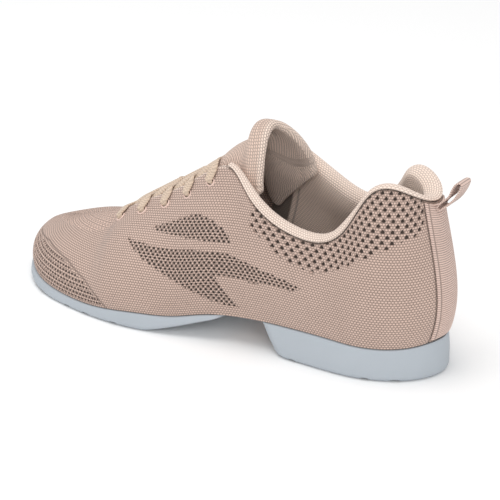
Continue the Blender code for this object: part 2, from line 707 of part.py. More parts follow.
def make_tongue():
    face = tongue_lines()
    rows, count = face.shape[:2]
    along = np.gradient(face, axis=0)
    across = np.gradient(face, axis=1)
    normal = np.cross(along, across)
    normal /= np.linalg.norm(normal, axis=2)[..., None]
    if normal[rows // 2, count // 2, 2] < 0:
        normal = -normal
    sections = []
    for i in range(rows):
        share = i / (rows - 1)
        pad = TONGUE_ROOT + (TONGUE_PAD - TONGUE_ROOT) * ease(share * 1.6)
        edge = 1.0 - np.abs(np.linspace(-1.0, 1.0, count)) ** 6 * 0.55
        under = face[i] - normal[i] * (pad * edge)[:, None]
        sections.append(list(face[i]) + list(under[::-1]))
    return loft("tongue", sections, KNIT)


def lace_line(start, end, lift):
    """Middle line of one lace run over the throat between two places given as (t, v)."""
    (t0, v0), (t1, v1) = start, end
    line = [COLUMN.skin(t0, v0, -lift)]
    line.append(COLUMN.skin(t0 + (t1 - t0) * 0.08, (v0 + 1.0) / 2.0, -lift))
    for u in np.linspace(0.0, 1.0, 7):
        t = t0 + (t1 - t0) * (0.16 + 0.68 * u)
        line.append(bridge(t, [u], -lift)[0])
    line.append(COLUMN.skin(-(t1 - (t1 - t0) * 0.08), (v1 + 1.0) / 2.0, -lift))
    line.append(COLUMN.skin(-t1, v1, -lift))
    return np.array(line)


def lace_run(start, end, above_others):
    """Flat tape over the throat between two eyelets, lying on the surface below it."""
    lift = LACE_THICKNESS * (0.5 + LACE_STACK * above_others) + 2.0 * CLEARANCE
    line = lace_line(start, end, lift)
    above = lace_line(start, end, lift + LACE_THICKNESS)
    tangent = np.gradient(line, axis=0)
    sections = []
    for p, along, up in zip(line, tangent, above - line):
        side = np.cross(along, up)
        side /= np.linalg.norm(side)
        up = np.cross(side, along)
        up /= np.linalg.norm(up)
        w, h = LACE_WIDTH / 2.0, LACE_THICKNESS / 2.0
        sections.append([p + side * w * a + up * h * b
                         for a, b in ((-1, -.3), (-.6, -1), (.6, -1), (1, -.3),
                                      (1, .4), (.6, 1), (-.6, 1), (-1, .4))])
    return loft("laces", sections, CORD)


def make_laces():
    """Crossings over the throat, joined into one solid that stops short of the eyelets' holes."""
    places = eyelet_places()
    runs = [lace_run(places[0], places[0], 0)]
    for lower, upper in zip(places, places[1:]):
        runs += [lace_run(lower, upper, 1), lace_run(upper, lower, 2)]
    laces = runs[0]
    for run in runs[1:]:
        run.hide_render = True
        run.display_type = "WIRE"
        join = laces.modifiers.new("join", "BOOLEAN")
        join.operation = "UNION"
        join.solver = "EXACT"
        join.object = run
    return laces


def make_heel_strip():
    """Ribbed strip up the middle of the heel, from the sole to the collar seam."""
    sections = []
    for v in np.linspace(0.03, 0.985, 15):
        near = [COLUMN.half + k * STRIP_WIDTH / 2.0 for k in (-1.0, -0.5, 0.0, 0.5, 1.0)]
        line = COLUMN.skin(near, v)
        run = np.linalg.norm(line[-1] - line[0])
        places = COLUMN.half + (np.array(near) - COLUMN.half) * STRIP_WIDTH / run
        inner = COLUMN.skin(places, v, -CLEARANCE)
        outer = COLUMN.skin(places, v, -CLEARANCE - STRIP_THICKNESS * np.array([.6, 1, 1, 1, .6]))
        sections.append(list(inner) + list(outer[::-1]))
    return loft("heel_strip", sections, RIBBON)


def make_pull_loop():
    """Tape folded on itself, sewn at the top of the heel strip and standing out behind it."""
    root = COLUMN.skin(COLUMN.half, 0.975, -(2.0 * CLEARANCE + STRIP_THICKNESS + TAPE / 2.0))
    size = LOOP_LENGTH
    # distance back and up from the root, and half width, as shares of the loop's length
    Fold = namedtuple("Fold", "back up half")
    folds = (Fold(.00, .00, .34), Fold(.10, .17, .34), Fold(.24, .31, .34), Fold(.38, .46, .33),
             Fold(.47, .68, .32), Fold(.58, .88, .31), Fold(.74, .97, .31), Fold(.86, .90, .31),
             Fold(.85, .74, .31), Fold(.77, .56, .32), Fold(.64, .40, .33), Fold(.50, .26, .34),
             Fold(.28, .08, .34), Fold(.10, -.04, .34))
    path = np.array([root + size * np.array((0.0, f.back, f.up)) for f in folds])
    widths = [f.half * LOOP_WIDTH * 1.6 for f in folds]
    path = np.vstack([path, path[:1]])
    tangent = np.roll(path[:-1], -1, 0) - np.roll(path[:-1], 1, 0)
    tangent /= np.linalg.norm(tangent, axis=1)[:, None]
    points, faces = [], []
    for p, along, half in zip(path, tangent, widths):
        out = np.cross(along, (1.0, 0.0, 0.0))
        for side, sign in ((-1, -1), (1, -1), (1, 1), (-1, 1)):
            points.append(p + np.array((side * half, 0.0, 0.0)) + out * sign * TAPE / 2.0)
    n = len(tangent)
    for i in range(n):
        k = (i + 1) % n
        for j in range(4):
            m = (j + 1) % 4
            faces.append((4 * i + j, 4 * i + m, 4 * k + m, 4 * k + j))
    return solid("pull_loop", points, faces, RIBBON)


def main():
    for thing in list(bpy.data.objects):
        bpy.data.objects.remove(thing, do_unlink=True)
    make_upper()
    make_forefoot_sole()
    make_heel_sole()
    make_insole()
    make_collar_lining()
    make_tongue()
    make_laces()
    make_heel_strip()
    make_pull_loop()


main()
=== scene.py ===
# Knitted dance sneaker with a split sole, left shoe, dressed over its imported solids.

from collections import namedtuple
from functools import partialmethod
from math import cos, pi, radians, sin

import bpy
import bmesh
import numpy as np
from mathutils import Matrix, Vector


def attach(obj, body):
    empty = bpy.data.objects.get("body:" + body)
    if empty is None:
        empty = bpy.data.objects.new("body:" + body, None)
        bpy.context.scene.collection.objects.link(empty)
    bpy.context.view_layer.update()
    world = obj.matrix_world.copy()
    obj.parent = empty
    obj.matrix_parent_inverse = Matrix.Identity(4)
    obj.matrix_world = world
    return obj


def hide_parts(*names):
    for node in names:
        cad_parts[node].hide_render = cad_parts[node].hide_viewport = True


bl_info = {
    "name": "Knitted Dance Sneaker",
    "version": (1, 0, 0),
    "blender": (4, 5, 0),
    "location": "3D View > Sidebar > Sneaker",
    "description": "Builds a knitted split-sole dance sneaker piece by piece",
    "category": "Add Mesh",
}

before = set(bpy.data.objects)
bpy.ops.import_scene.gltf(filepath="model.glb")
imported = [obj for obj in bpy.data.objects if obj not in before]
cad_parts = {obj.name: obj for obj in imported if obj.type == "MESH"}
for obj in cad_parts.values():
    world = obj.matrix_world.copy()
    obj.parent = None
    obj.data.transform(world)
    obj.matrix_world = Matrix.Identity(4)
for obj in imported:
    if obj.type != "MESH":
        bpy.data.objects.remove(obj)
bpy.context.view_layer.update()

MM = 0.001
TOE_CELL = 0.001            # grid on which the toe's top is smoothed
TOE_BLUR = 0.0024           # spread of that smoothing
TOE_SOFT = 0.004            # smoothed wholly this near the ridge
TOE_FADE = 0.012            # and less and less over this much more
RIDGE_FADE = 0.75, 0.22     # share of the ridge where the smoothing starts to fade, and over which

# Sizes that pieces share, in metres
WALL = 0.0022               # knitted upper with its backing
MARGIN = 0.012              # upper turned in under the foot
CLEARANCE = 0.0003          # between pieces that touch
FOREFOOT_SOLE = 0.0085      # forefoot sole, side wall at the toe joint
HEEL_SOLE = 0.0183          # heel sole, floor to feather line
ARCH_HEIGHT = 0.0170        # underside of the arch above the floor
SOLE_LEDGE = 0.0012         # sole beyond the feather line
SOLE_EDGE = 0.0012          # thickness left where the forefoot sole runs out
SOLE_CORNER = 0.008         # plan radius of the soles' corners at the arch
SOLE_ROUND = 0.0028         # radius of the soles' lower edge
TOE_SPRING = 0.0025         # lift of the tread at the toe
GROOVE_WIDTH = 0.0045
GROOVE_DEPTH = 0.0016
INSOLE = 0.0040
TONGUE_PAD = 0.0048
TONGUE_ROOT = 0.0024
COLLAR_PAD = 0.0070         # padded collar beside the ankle
COLLAR_END_PAD = 0.0034     # padded collar at the throat
COLLAR_ROLL = 0.0046        # collar's roll above the seam
LINING = 0.0016             # lower edge of the collar lining
EYELETS = 5                 # a side
EYELET_SETBACK = 0.0072     # eyelet centre below the throat edge
STRIP_WIDTH = 0.0195        # ribbed strip up the back of the heel
STRIP_THICKNESS = 0.0011
LOOP_WIDTH = 0.0100
LOOP_LENGTH = 0.0160
TAPE = 0.0011
HEEL_CENTRE = 0.165         # heel tread's middle, as a share of the length

# Feather line, where the upper meets the sole. along: share of the length from the heel. outer,
# inner: distance from the middle line, share of the width named. lift: height, share of the sole
# named. bulge and climb: the column's lower handle.
Feather = namedtuple("Feather", "name along width outer inner sole lift bulge climb")
FEATHER = (
    Feather("toe tip",     1.000, "ball", -.068, -.068, "forefoot", 1.10, .065, .62),
    Feather("toe corner",  0.970, "ball",  .185, -.300, "forefoot", 1.03, .062, .60),
    Feather("toe side",    0.900, "ball",  .380, -.432, "forefoot", 0.86, .056, .54),
    Feather("toe joint",   0.800, "ball",  .482, -.480, "forefoot", 0.70, .058, .46),
    Feather("ball",        0.700, "ball",  .525, -.475, "forefoot", 0.84, .066, .44),
    Feather("instep",      0.620, "ball",  .518, -.418, "forefoot", 1.12, .066, .42),
    Feather("lacing",      0.540, "ball",  .462, -.345, "forefoot", 1.27, .070, .42),
    Feather("throat top",  0.460, "ball",  .395, -.305, "arch",     0.88, .074, .40),
    Feather("slope",       0.380, "heel",  .533, -.442, "arch",     1.00, .090, .42),
    Feather("dip",         0.280, "heel",  .525, -.475, "heel",     1.00, .080, .42),
    Feather("rise",        0.185, "heel",  .527, -.508, "heel",     1.01, .080, .38),
    Feather("hump",        0.120, "heel",  .497, -.487, "heel",     0.97, .090, .34),
    Feather("heel side",   0.038, "heel",  .317, -.317, "heel",     1.01, .120, .32),
    Feather("heel back",   0.000, "heel",  .000,  .000, "heel",     1.12, .150, .30),
)

# Rim: the toe's ridge, the throat's edge, then the collar. rise: height on each side, share of the
# height named. lean, reach and fall: the column's upper handle.
Rim = namedtuple("Rim", "name along width outer inner height rise_outer rise_inner lean reach fall")
RIM = (
    Rim("toe tip",    0.920, "ball", -.062, -.062, "toe",    1.000, 1.000, .000,  .048, .02),
    Rim("toe corner", 0.903, "ball", -.056, -.056, "toe",    1.060, 1.060, .120,  .030, .02),
    Rim("toe side",   0.862, "ball", -.048, -.048, "toe",    1.190, 1.190, .220,  .010, .02),
    Rim("toe joint",  0.800, "ball", -.030, -.030, "toe",    1.380, 1.380, .250,  .000, .03),
    Rim("ball",       0.728, "ball",  .150, -.180, "toe",    1.720, 1.720, .190,  .000, .14),
    Rim("instep",     0.650, "ball",  .180, -.192, "toe",    2.110, 2.120, .160,  .000, .20),
    Rim("lacing",     0.555, "ball",  .205, -.214, "instep", 0.832, 0.845, .130,  .000, .24),
    Rim("throat top", 0.449, "ball",  .236, -.238, "instep", 1.000, 1.030, .090,  .010, .26),
    Rim("slope",      0.380, "heel",  .465, -.435, "dip",    1.180, 1.330, .050,  .000, .30),
    Rim("dip",        0.262, "heel",  .515, -.475, "dip",    0.990, 1.075, .050,  .000, .34),
    Rim("rise",       0.165, "heel",  .485, -.465, "dip",    1.105, 1.130, .075,  .000, .34),
    Rim("hump",       0.117, "heel",  .380, -.385, "collar", 0.985, 0.975, .120,  .000, .30),
    Rim("heel side",  0.049, "heel",  .245, -.245, "collar", 0.990, 0.965, .090, -.012, .34),
    Rim("heel back",  0.022, "heel",  .000,  .000, "collar", 0.930, 0.930, .000, -.020, .38),
)

# Free end of the tongue: crest is its middle line, edge where the sheet ends beside the collar.
Arch = namedtuple("Arch", "name crest_along crest_height edge_along edge_height climb spread")
TONGUE_END = (
    Arch("shaft",    0.430, 0.984, 0.394, 0.700, .50, .62),
    Arch("free rim", 0.397, 1.000, 0.338, 0.725, .50, .58),
)

# Shares of the length
THROAT_FRONT = 0.778
THROAT_TOP = 0.449
THROAT_OPENING = 0.030      # metres in which the throat's edges part, behind the ridge
THROAT_ARCH = 0.515
TONGUE_FRONT = 0.800
ARCH_FRONT = 0.430
ARCH_BACK = 0.352
HEEL_BREAST = 0.302
TREAD_BREAK = 0.600
SPRING_BREAK = 0.840
FIRST_EYELET = 0.722
LAST_EYELET = 0.486
FOREFOOT_GROOVES = (0.875, 0.790, 0.735, 0.660)
HEEL_GROOVES = (0.262, 0.100, 0.045)
ARCHING = 0.12
ARCHING_TOP = 0.62

# Perforated fields of the knit, in millimetres: along the shoe from the toe tip, then up from the
# feather line. pitch and row: spacing of the holes. wide, tall, deep: size of each. taper: how much
# narrower a hole is at its top. dark: how far each hole is painted dark, as painted shade inside
# it;
# below 0, how far it is made paler instead.
Field = namedtuple("Field", "name pitch row wide tall deep taper dark outline")
FIELDS = (
    Field("leaf", 2.95, 1.70, 1.75, 1.40, 0.80, 0.0, .97, (
        (120, 48.6), (132, 52.7), (146, 56.3), (150, 57.3), (159, 54.2), (167, 49.7), (173.3, 45.1),
        (173.3, 41.6), (163, 41.8), (149, 43.5), (136, 45.4), (124, 46.7))),
    Field("sweep", 2.95, 1.70, 1.75, 1.40, 0.80, 0.0, .97, (
        (104, 41.5), (115, 39.5), (129, 37.8), (150.5, 37.5), (174, 35.6), (185.4, 32.5),
        (197, 29.5), (208, 28.2), (220, 25.4), (215, 22.3), (202, 23), (189, 22), (177, 23.2),
        (166, 23.5),
        (168, 19), (175, 11), (180.6, 6), (174, 5.6), (162.6, 8.9), (152, 14.4), (138, 21.7),
        (126, 26.5), (116, 31.4), (109, 36.7))),
    Field("toe guard", 2.30, 2.30, 1.60, 1.35, 0.65, 0.0, .88, (
        (-5, 2.0), (-5, 13.0), (14, 14.6), (37, 20), (52, 19.2), (60, 18), (75, 12.2), (87, 5.0),
        (91, 1.2), (60, 1.2), (20, 1.2))),
    Field("vamp", 3.10, 2.10, 1.50, 1.30, 0.30, 0.0, -.55, (
        (6, 27), (6, 90), (81, 90), (82, 50.6), (62.4, 41), (42, 38.0))),
    Field("collar mesh", 5.40, 2.80, 3.50, 2.20, 1.20, .80, .95, (
        (184, 54.0), (190, 49.0), (197, 44.5), (203, 40.5), (211, 37.6), (219, 36.4), (228, 36.4),
        (239, 40.2), (251, 45.6), (270, 55.3), (278, 59), (291, 62.6), (294, 70.6), (294, 84),
        (284, 90), (262, 90), (254, 80), (247, 69.5), (239, 60.5), (231, 54.3), (221, 51.3),
        (211, 51.8), (201, 55.5), (192, 62.0), (186, 67.0))),
)
TOE_SEAM = ((-5, 14.6), (14, 16.2), (37, 21.6), (52, 20.7), (60.6, 19.5), (75.5, 13.7), (87, 6.4),
            (93, 0.5))


def ease(x):
    x = np.clip(x, 0.0, 1.0)
    return x * x * (3.0 - 2.0 * x)


def unit(vectors):
    """Each vector at length 1. One without a length stays as it is."""
    return vectors / np.maximum(np.linalg.norm(vectors, axis=-1, keepdims=True), 1e-30)


def bezier(a, b, c, d, u):
    return (1 - u) ** 3 * a + 3 * (1 - u) ** 2 * u * b + 3 * (1 - u) * u ** 2 * c + u ** 3 * d


def hermite(start, leaving, end, arriving, u):
    return ((2 * u ** 3 - 3 * u ** 2 + 1) * start + (u ** 3 - 2 * u ** 2 + u) * leaving
            + (3 * u ** 2 - 2 * u ** 3) * end + (u ** 3 - u ** 2) * arriving)


# Sizes and colours that a user may change

def length_property(name, description, default):
    return bpy.props.FloatProperty(name=name, description=description, default=default,
                                   min=default * 0.5, max=default * 1.5, precision=4, unit="LENGTH")


def colour_property(name, description, default):
    return bpy.props.FloatVectorProperty(name=name, description=description, default=default,
                                         min=0.0, max=1.0, size=3, subtype="COLOR")


class SneakerSizes(bpy.types.PropertyGroup):
    length: length_property("Length", "Feather line, heel to toe", 0.262)
    ball_width: length_property("Ball width", "Feather line across the ball of the foot", 0.0885)
    heel_width: length_property("Heel width", "Feather line across the heel", 0.060)
    toe_height: length_property("Toe height", "Ridge over the toes above the floor", 0.0305)
    instep_height: length_property("Instep height", "Throat's top corner above the floor", 0.0945)
    dip_height: length_property("Dip height", "Collar seam's lowest point above the floor", 0.0700)
    collar_height: length_property("Collar height", "Collar seam beside the heel tendon", 0.1005)
    tongue_height: length_property("Tongue height", "Crest of the tongue's free end", 0.1165)
    lace_width: length_property("Lace width", "Flat lace, edge to edge", 0.0062)
    lace_thickness: length_property("Lace thickness", "Flat lace through its middle", 0.0016)


class SneakerColours(bpy.types.PropertyGroup):
    knit: colour_property("Knit", "Yarn of the upper", (0.68, 0.50, 0.42))
    tongue: colour_property("Tongue", "Yarn of the tongue", (0.78, 0.595, 0.50))
    lining: colour_property("Lining", "Padded collar and lining", (0.90, 0.72, 0.61))
    ribbon: colour_property("Ribbon", "Heel strip and pull loop", (0.74, 0.55, 0.475))
    cord: colour_property("Cord", "Flat lace", (0.72, 0.56, 0.43))
    foam: colour_property("Insole", "Insole's cover", (0.10, 0.08, 0.085))
    rubber: colour_property("Rubber", "Both soles", (0.42, 0.46, 0.50))


# The shoe's shape

def closed_spline(knots, values, period):
    """Slopes of the smooth closed cubic through values at knots."""
    n = len(knots)
    step = np.diff(np.append(knots, knots[0] + period))
    matrix = np.zeros((n, n))
    right = np.zeros_like(values)
    for i in range(n):
        before, after = step[i - 1], step[i]
        matrix[i, i - 1] += 1.0 / before
        matrix[i, i] += 2.0 / before + 2.0 / after
        matrix[i, (i + 1) % n] += 1.0 / after
        right[i] = 3.0 * ((values[i] - values[i - 1]) / before ** 2
                          + (values[(i + 1) % n] - values[i]) / after ** 2)
    return np.linalg.solve(matrix, right)


class Shoe:
    """The upper as a ring of columns, each one curve from the feather line to the rim. t is the
    place round the shoe: 0 at the toe tip, rising along the outer side to the heel back at half
    the period. v is the height up a column."""

    def __init__(self, sizes):
        for name in sizes.__annotations__:
            setattr(self, name, getattr(sizes, name))
        self.widths = {name: getattr(sizes, name + "_width") for name in ("ball", "heel")}
        heights = {name: getattr(sizes, name + "_height")
                   for name in ("toe", "instep", "dip", "collar")}
        rests = {"forefoot": FOREFOOT_SOLE, "arch": ARCH_HEIGHT, "heel": HEEL_SOLE}
        rows = [(f, r, 1) for f, r in zip(FEATHER, RIM)]
        rows += [(f, r, -1) for f, r in list(zip(FEATHER, RIM))[-2:0:-1]]
        data = []
        for f, r, side in rows:
            x = f.outer if side > 0 else f.inner
            foot = (x * self.widths[f.width], self.y_of(f.along), f.lift * rests[f.sole])
            x = r.outer if side > 0 else r.inner
            rise = r.rise_outer if side > 0 else r.rise_inner
            top = (x * self.widths[r.width], self.y_of(r.along), rise * heights[r.height])
            height = top[2] - foot[2]
            low = (f.bulge * self.widths[f.width], f.climb * height)
            high = (side * r.lean * self.widths[r.width], -r.reach * self.length, -r.fall * height)
            data.append(foot + top + low + high)
        self.values = np.array(data)
        foot, top = self.values[:, 0:3], self.values[:, 3:6]
        span = (np.linalg.norm(np.roll(foot, -1, 0) - foot, axis=1)
                + 0.5 * np.linalg.norm(np.roll(top, -1, 0) - top, axis=1))
        span = (span + span[::-1]) / 2.0
        self.knots = np.concatenate([[0.0], np.cumsum(span)[:-1]])
        self.period = float(span.sum())
        self.half = self.period / 2.0
        self.slopes = closed_spline(self.knots, self.values, self.period)
        self.ridge_t = 0.0
        self.toe = None
        self.ridge_t = self.at_along(THROAT_FRONT, top=True)
        self.collar_t = self.at_along(THROAT_TOP, top=True)
        foot = self.handles(np.linspace(0.0, self.half, 160))[0]
        order = np.argsort(self.share_of(foot[:, 1]))
        self.feather = self.share_of(foot[:, 1])[order], foot[order, 2]

    def y_of(self, along):
        return (HEEL_CENTRE - along) * self.length

    def share_of(self, y):
        return HEEL_CENTRE - y / self.length

    def feather_height(self, along):
        return np.interp(along, *self.feather)

    def raw(self, t):
        t = np.mod(np.asarray(t, float), self.period)
        n = len(self.knots)
        ends = np.append(self.knots, self.period)
        i = np.clip(np.searchsorted(ends, t, "right") - 1, 0, n - 1)
        j = (i + 1) % n
        step = (ends[i + 1] - ends[i])[..., None]
        u = ((t - ends[i])[..., None]) / step
        return hermite(self.values[i], step * self.slopes[i],
                       self.values[j], step * self.slopes[j], u)

    def handles(self, t):
        t = np.atleast_1d(np.asarray(t, float))
        now = self.raw(t)
        gap = 1e-4 * self.period
        along = self.raw(t + gap)[:, 0:2] - self.raw(t - gap)[:, 0:2]
        out = np.stack([along[:, 1], -along[:, 0]], 1)
        out /= np.linalg.norm(out, axis=1)[:, None]
        foot, top = now[:, 0:3].copy(), now[:, 3:6].copy()
        from_toe = np.minimum(np.mod(t, self.period), np.mod(-t, self.period))
        shared = 0.5 * (1.0 - ease((from_toe - self.ridge_t) / THROAT_OPENING))[:, None]
        top += (self.raw(-t)[:, 3:6] - top) * shared        # both sides share the ridge
        low = foot.copy()
        low[:, 0:2] += out * now[:, 6:7]
        low[:, 2] += now[:, 7]
        return foot, low, top + now[:, 8:11], top, out

    def at_along(self, along, top=False):
        """The outer place whose foot, or rim, is this far from the heel."""
        lower, upper = 0.0, self.half
        column = 4 if top else 1
        for _ in range(50):
            middle = (lower + upper) / 2.0
            if self.raw(middle)[column] < self.y_of(along):
                lower = middle
            else:
                upper = middle
        return (lower + upper) / 2.0

    def curve(self, t, v):
        return bezier(*self.handles(t)[:4], np.asarray(v, float)[:, None])

    def skin(self, t, v, depth=0.0):
        """Point on the upper's outer face at height v of column t, moved in by depth."""
        t, v, depth = np.broadcast_arrays(np.asarray(t, float), np.asarray(v, float),
                                          np.asarray(depth, float))
        shape = t.shape
        t, v, depth = t.ravel(), v.ravel(), depth.ravel()
        here = self.curve(t, v)
        gap = 5e-4 * self.period
        inside = np.clip(v, 0.02, 0.98)
        across = self.curve(t + gap, inside) - self.curve(t - gap, inside)
        up = self.curve(t, inside + 0.01) - self.curve(t, inside - 0.01)
        normal = np.cross(across, up)
        normal /= np.linalg.norm(normal, axis=1)[:, None]
        return (here - normal * depth[:, None]).reshape(shape + (3,))

    def soften_toe(self, face):
        """Points of the toe's top moved to its mean height near the ridge, so no crease shows."""
        if self.toe is None:
            t = np.linspace(-1.3, 1.3, 521) * self.ridge_t
            v = np.linspace(0.4, 1.0, 91)
            cloud = self.curve(np.repeat(t, len(v)), np.tile(v, len(t)))
            size = (int(0.11 / TOE_CELL), int(0.10 / TOE_CELL))
            start = np.array((-0.055, self.y_of(1.02)))
            span = [(start[k], start[k] + size[k] * TOE_CELL) for k in (0, 1)]
            total = np.histogram2d(cloud[:, 0], cloud[:, 1], size, span, weights=cloud[:, 2])[0]
            count = np.histogram2d(cloud[:, 0], cloud[:, 1], size, span)[0]
            mean = np.where(count > 0, total / np.maximum(count, 1), 0.0)
            bell = np.exp(-0.5 * (np.arange(-8, 9) * TOE_CELL / TOE_BLUR) ** 2)
            layers = []
            for layer in (mean, (count > 0).astype(float)):
                for axis in (0, 1):
                    layer = np.apply_along_axis(np.convolve, axis, layer, bell, "same")
                layers.append(layer)
            self.toe = layers[0] / np.maximum(layers[1], 1e-9), start
        table, start = self.toe
        where = (face[..., 0:2] - start) / TOE_CELL - 0.5
        i = np.clip(where.astype(int), 0, np.array(table.shape) - 2)
        f = np.clip(where - i, 0.0, 1.0)
        i, j, f, g = i[..., 0], i[..., 1], f[..., 0], f[..., 1]
        height = ((table[i, j] * (1 - f) + table[i + 1, j] * f) * (1 - g)
                  + (table[i, j + 1] * (1 - f) + table[i + 1, j + 1] * f) * g)
        first, last = self.handles([0.0, self.ridge_t])[3][:, 0:2]
        ridge = last - first
        flat = face[..., 0:2] - first
        along = flat @ ridge / (ridge @ ridge)
        away = np.linalg.norm(flat - np.clip(along, 0, 1)[..., None] * ridge, axis=-1)
        share = ((1.0 - ease((away - TOE_SOFT) / TOE_FADE))
                 * (1.0 - ease((along - RIDGE_FADE[0]) / RIDGE_FADE[1])))
        face = face.copy()
        face[..., 2] += (height - face[..., 2]) * share
        return face

    def outward(self, t, v):
        inward = self.skin(t, v, 1e-3) - self.skin(t, v)
        return -inward / np.linalg.norm(inward)

    def plan(self, t, offset):
        """Feather line moved outward by offset."""
        foot, _, _, _, out = self.handles(t)
        foot[:, 0:2] += out * np.asarray(offset, float).reshape(-1, 1)
        return foot

    def eyelets(self):
        """Place round the shoe and height up the column of each outer eyelet, toe to instep."""
        places = []
        for i in range(EYELETS):
            along = FIRST_EYELET + (LAST_EYELET - FIRST_EYELET) * i / (EYELETS - 1)
            t = self.at_along(along, top=True)
            v = np.linspace(1.0, 0.5, 60)
            line = self.skin(np.full(60, t), v)
            run = np.concatenate([[0.0], np.cumsum(np.linalg.norm(np.diff(line, axis=0), axis=1))])
            places.append((t, float(np.interp(EYELET_SETBACK, run, v)),
                           float(np.interp(EYELET_SETBACK * 0.5, run, v))))
        return places

    def collar_pad(self, place):
        """Thickness of the padded collar at a place round the shoe."""
        from_end = self.half - abs(self.half - place % self.period) - self.collar_t
        share = ease(from_end / (self.half - self.collar_t) / 0.45)
        return COLLAR_END_PAD + (COLLAR_PAD - COLLAR_END_PAD) * float(share)

    def bridge(self, t, u, depth):
        """Arch over the throat from outer rim to inner at place t, at shares u of the way."""
        outer, inner = self.skin(t, 1.0, depth), self.skin(-t, 1.0, depth)
        stand = ease((THROAT_ARCH - self.share_of(self.handles(t)[3][0, 1]))
                     / (THROAT_ARCH - THROAT_TOP))
        arching = ARCHING + (ARCHING_TOP - ARCHING) * float(stand)
        reach = np.linalg.norm(outer - inner) * arching
        pulls = [end + unit(self.skin(place, 1.0) - self.skin(place, 0.96)) * reach
                 for end, place in ((outer, t), (inner, -t))]
        return bezier(outer, *pulls, inner, np.asarray(u, float)[:, None])

    def beside_collar(self, along, height, side):
        """Point just clear of the padded collar's inner face, at this height where it has one."""
        t = self.at_along(along, top=True)
        place = t if side > 0 else self.period - t
        depth = WALL + 4.5 * CLEARANCE + self.collar_pad(place)
        climb = np.linspace(0.5, 1.0, 40)
        face = self.skin(np.full(40, place), climb, depth)
        return self.skin(place, float(np.interp(height, face[:, 2], climb)), depth)


def smooth_through(rows, times, closed=False):
    """More rows between the given ones, on a smooth curve through them."""
    rows = np.asarray(rows, float)
    count = len(rows)
    if closed:
        slope = (np.roll(rows, -1, 0) - np.roll(rows, 1, 0)) / 2.0
        where = np.arange(count * times) / times
    else:
        slope = np.gradient(rows, axis=0)
        where = np.linspace(0, count - 1, (count - 1) * times + 1)
    i = np.minimum(where.astype(int), count - 1 if closed else count - 2)
    k = (i + 1) % count
    u = (where - i).reshape((-1,) + (1,) * (rows.ndim - 1))
    return hermite(rows[i], slope[i], rows[k], slope[k], u)


def run_length(points, axis=0):
    """Distance covered along an axis of a grid of points, from its first row."""
    step = np.linalg.norm(np.diff(points, axis=axis), axis=-1)
    start = np.zeros_like(np.take(step, [0], axis=axis))
    return np.concatenate([start, np.cumsum(step, axis=axis)], axis=axis)


_SHOES = {}


def shoe_of(context):
    sizes = context.scene.sneaker_sizes
    key = tuple(getattr(sizes, name) for name in sizes.__annotations__)
    if key not in _SHOES:
        _SHOES[key] = Shoe(sizes)
    return _SHOES[key]


# Meshes

def grid_faces(n, m, close_n=False, close_m=False):
    i, j = np.meshgrid(np.arange(n if close_n else n - 1), np.arange(m if close_m else m - 1),
                       indexing="ij")
    k, l = (i + 1) % n, (j + 1) % m
    return np.stack([i * m + j, k * m + j, k * m + l, i * m + l], -1).reshape(-1, 4)


def paired(first, second):
    """Places on the cloth, from two arrays that broadcast together."""
    return np.stack(np.broadcast_arrays(first, second), -1)


def between(first, second, shares):
    """Points from one line to another, at shares of the way, for each place along them."""
    shares = shares[None, :, None]
    return first[:, None] * (1 - shares) + second[:, None] * shares


def add_piece(name, points, faces, look, uv=None, marks=None, sharp=50.0, weld=None):
    """One mesh object that rides on the shoe. uv gives each point's place on the cloth in metres,
    and marks holds named values from 0 to 1 for its material."""
    mesh = bpy.data.meshes.new(name)
    points = np.asarray(points, float).reshape(-1, 3)
    faces = faces.tolist() if isinstance(faces, np.ndarray) else faces
    mesh.from_pydata(points.tolist(), [], faces)
    for key, values in (marks or {}).items():
        mark = mesh.attributes.new(key, "FLOAT", "POINT")
        mark.data.foreach_set("value", np.asarray(values, np.float32).ravel())
    if uv is not None:
        layer = mesh.uv_layers.new(name="cloth")
        corner = np.empty(len(mesh.loops), np.int32)
        mesh.loops.foreach_get("vertex_index", corner)
        layer.data.foreach_set("uv", np.asarray(uv, np.float32).reshape(-1, 2)[corner].ravel())
    work = bmesh.new()
    work.from_mesh(mesh)
    if weld:
        bmesh.ops.remove_doubles(work, verts=work.verts, dist=weld)
    bmesh.ops.recalc_face_normals(work, faces=work.faces)
    if work.calc_volume(signed=True) < 0:
        bmesh.ops.reverse_faces(work, faces=work.faces)
    work.to_mesh(mesh)
    work.free()
    mesh.shade_smooth()
    mesh.set_sharp_from_angle(angle=radians(sharp))
    mesh.materials.append(look)
    piece = bpy.data.objects.new(name, mesh)
    bpy.context.scene.collection.objects.link(piece)
    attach(piece, "root")
    return piece


def loft_faces(n, m):
    """Faces of a tube of n sections of m points, capped at both ends."""
    faces = grid_faces(n, m, close_m=True).tolist()
    return faces + [list(range(m))[::-1], list(range((n - 1) * m, n * m))]


def in_outline(u, v, outline):
    """Whether each point lies inside a closed outline."""
    inside = np.zeros(np.shape(u), bool)
    for (x0, y0), (x1, y1) in zip(outline, outline[1:] + outline[:1]):
        crosses = (y0 > v) != (y1 > v)
        with np.errstate(divide="ignore", invalid="ignore"):
            at = x0 + (v - y0) * (x1 - x0) / (y1 - y0 if y1 != y0 else 1e-9)
        inside ^= crosses & (u < at)
    return inside


def holes_of(field, u, v):
    """How far each place, in millimetres, lies in one of the field's holes, from 0 to 1."""
    row = np.round(v / field.row)
    shift = 0.5 * np.mod(row, 2)
    column = np.round(u / field.pitch - shift)
    cu, cv = (column + shift) * field.pitch, row * field.row
    kept = in_outline(cu, cv, field.outline)
    rise = (v - cv) / (field.tall / 2)
    half = field.wide / 2 * (1.0 - field.taper * (rise * 0.5 + 0.5))
    away = np.sqrt(((u - cu) / half) ** 2 + rise ** 2)
    return ease((1.35 - away) / 0.7) * kept


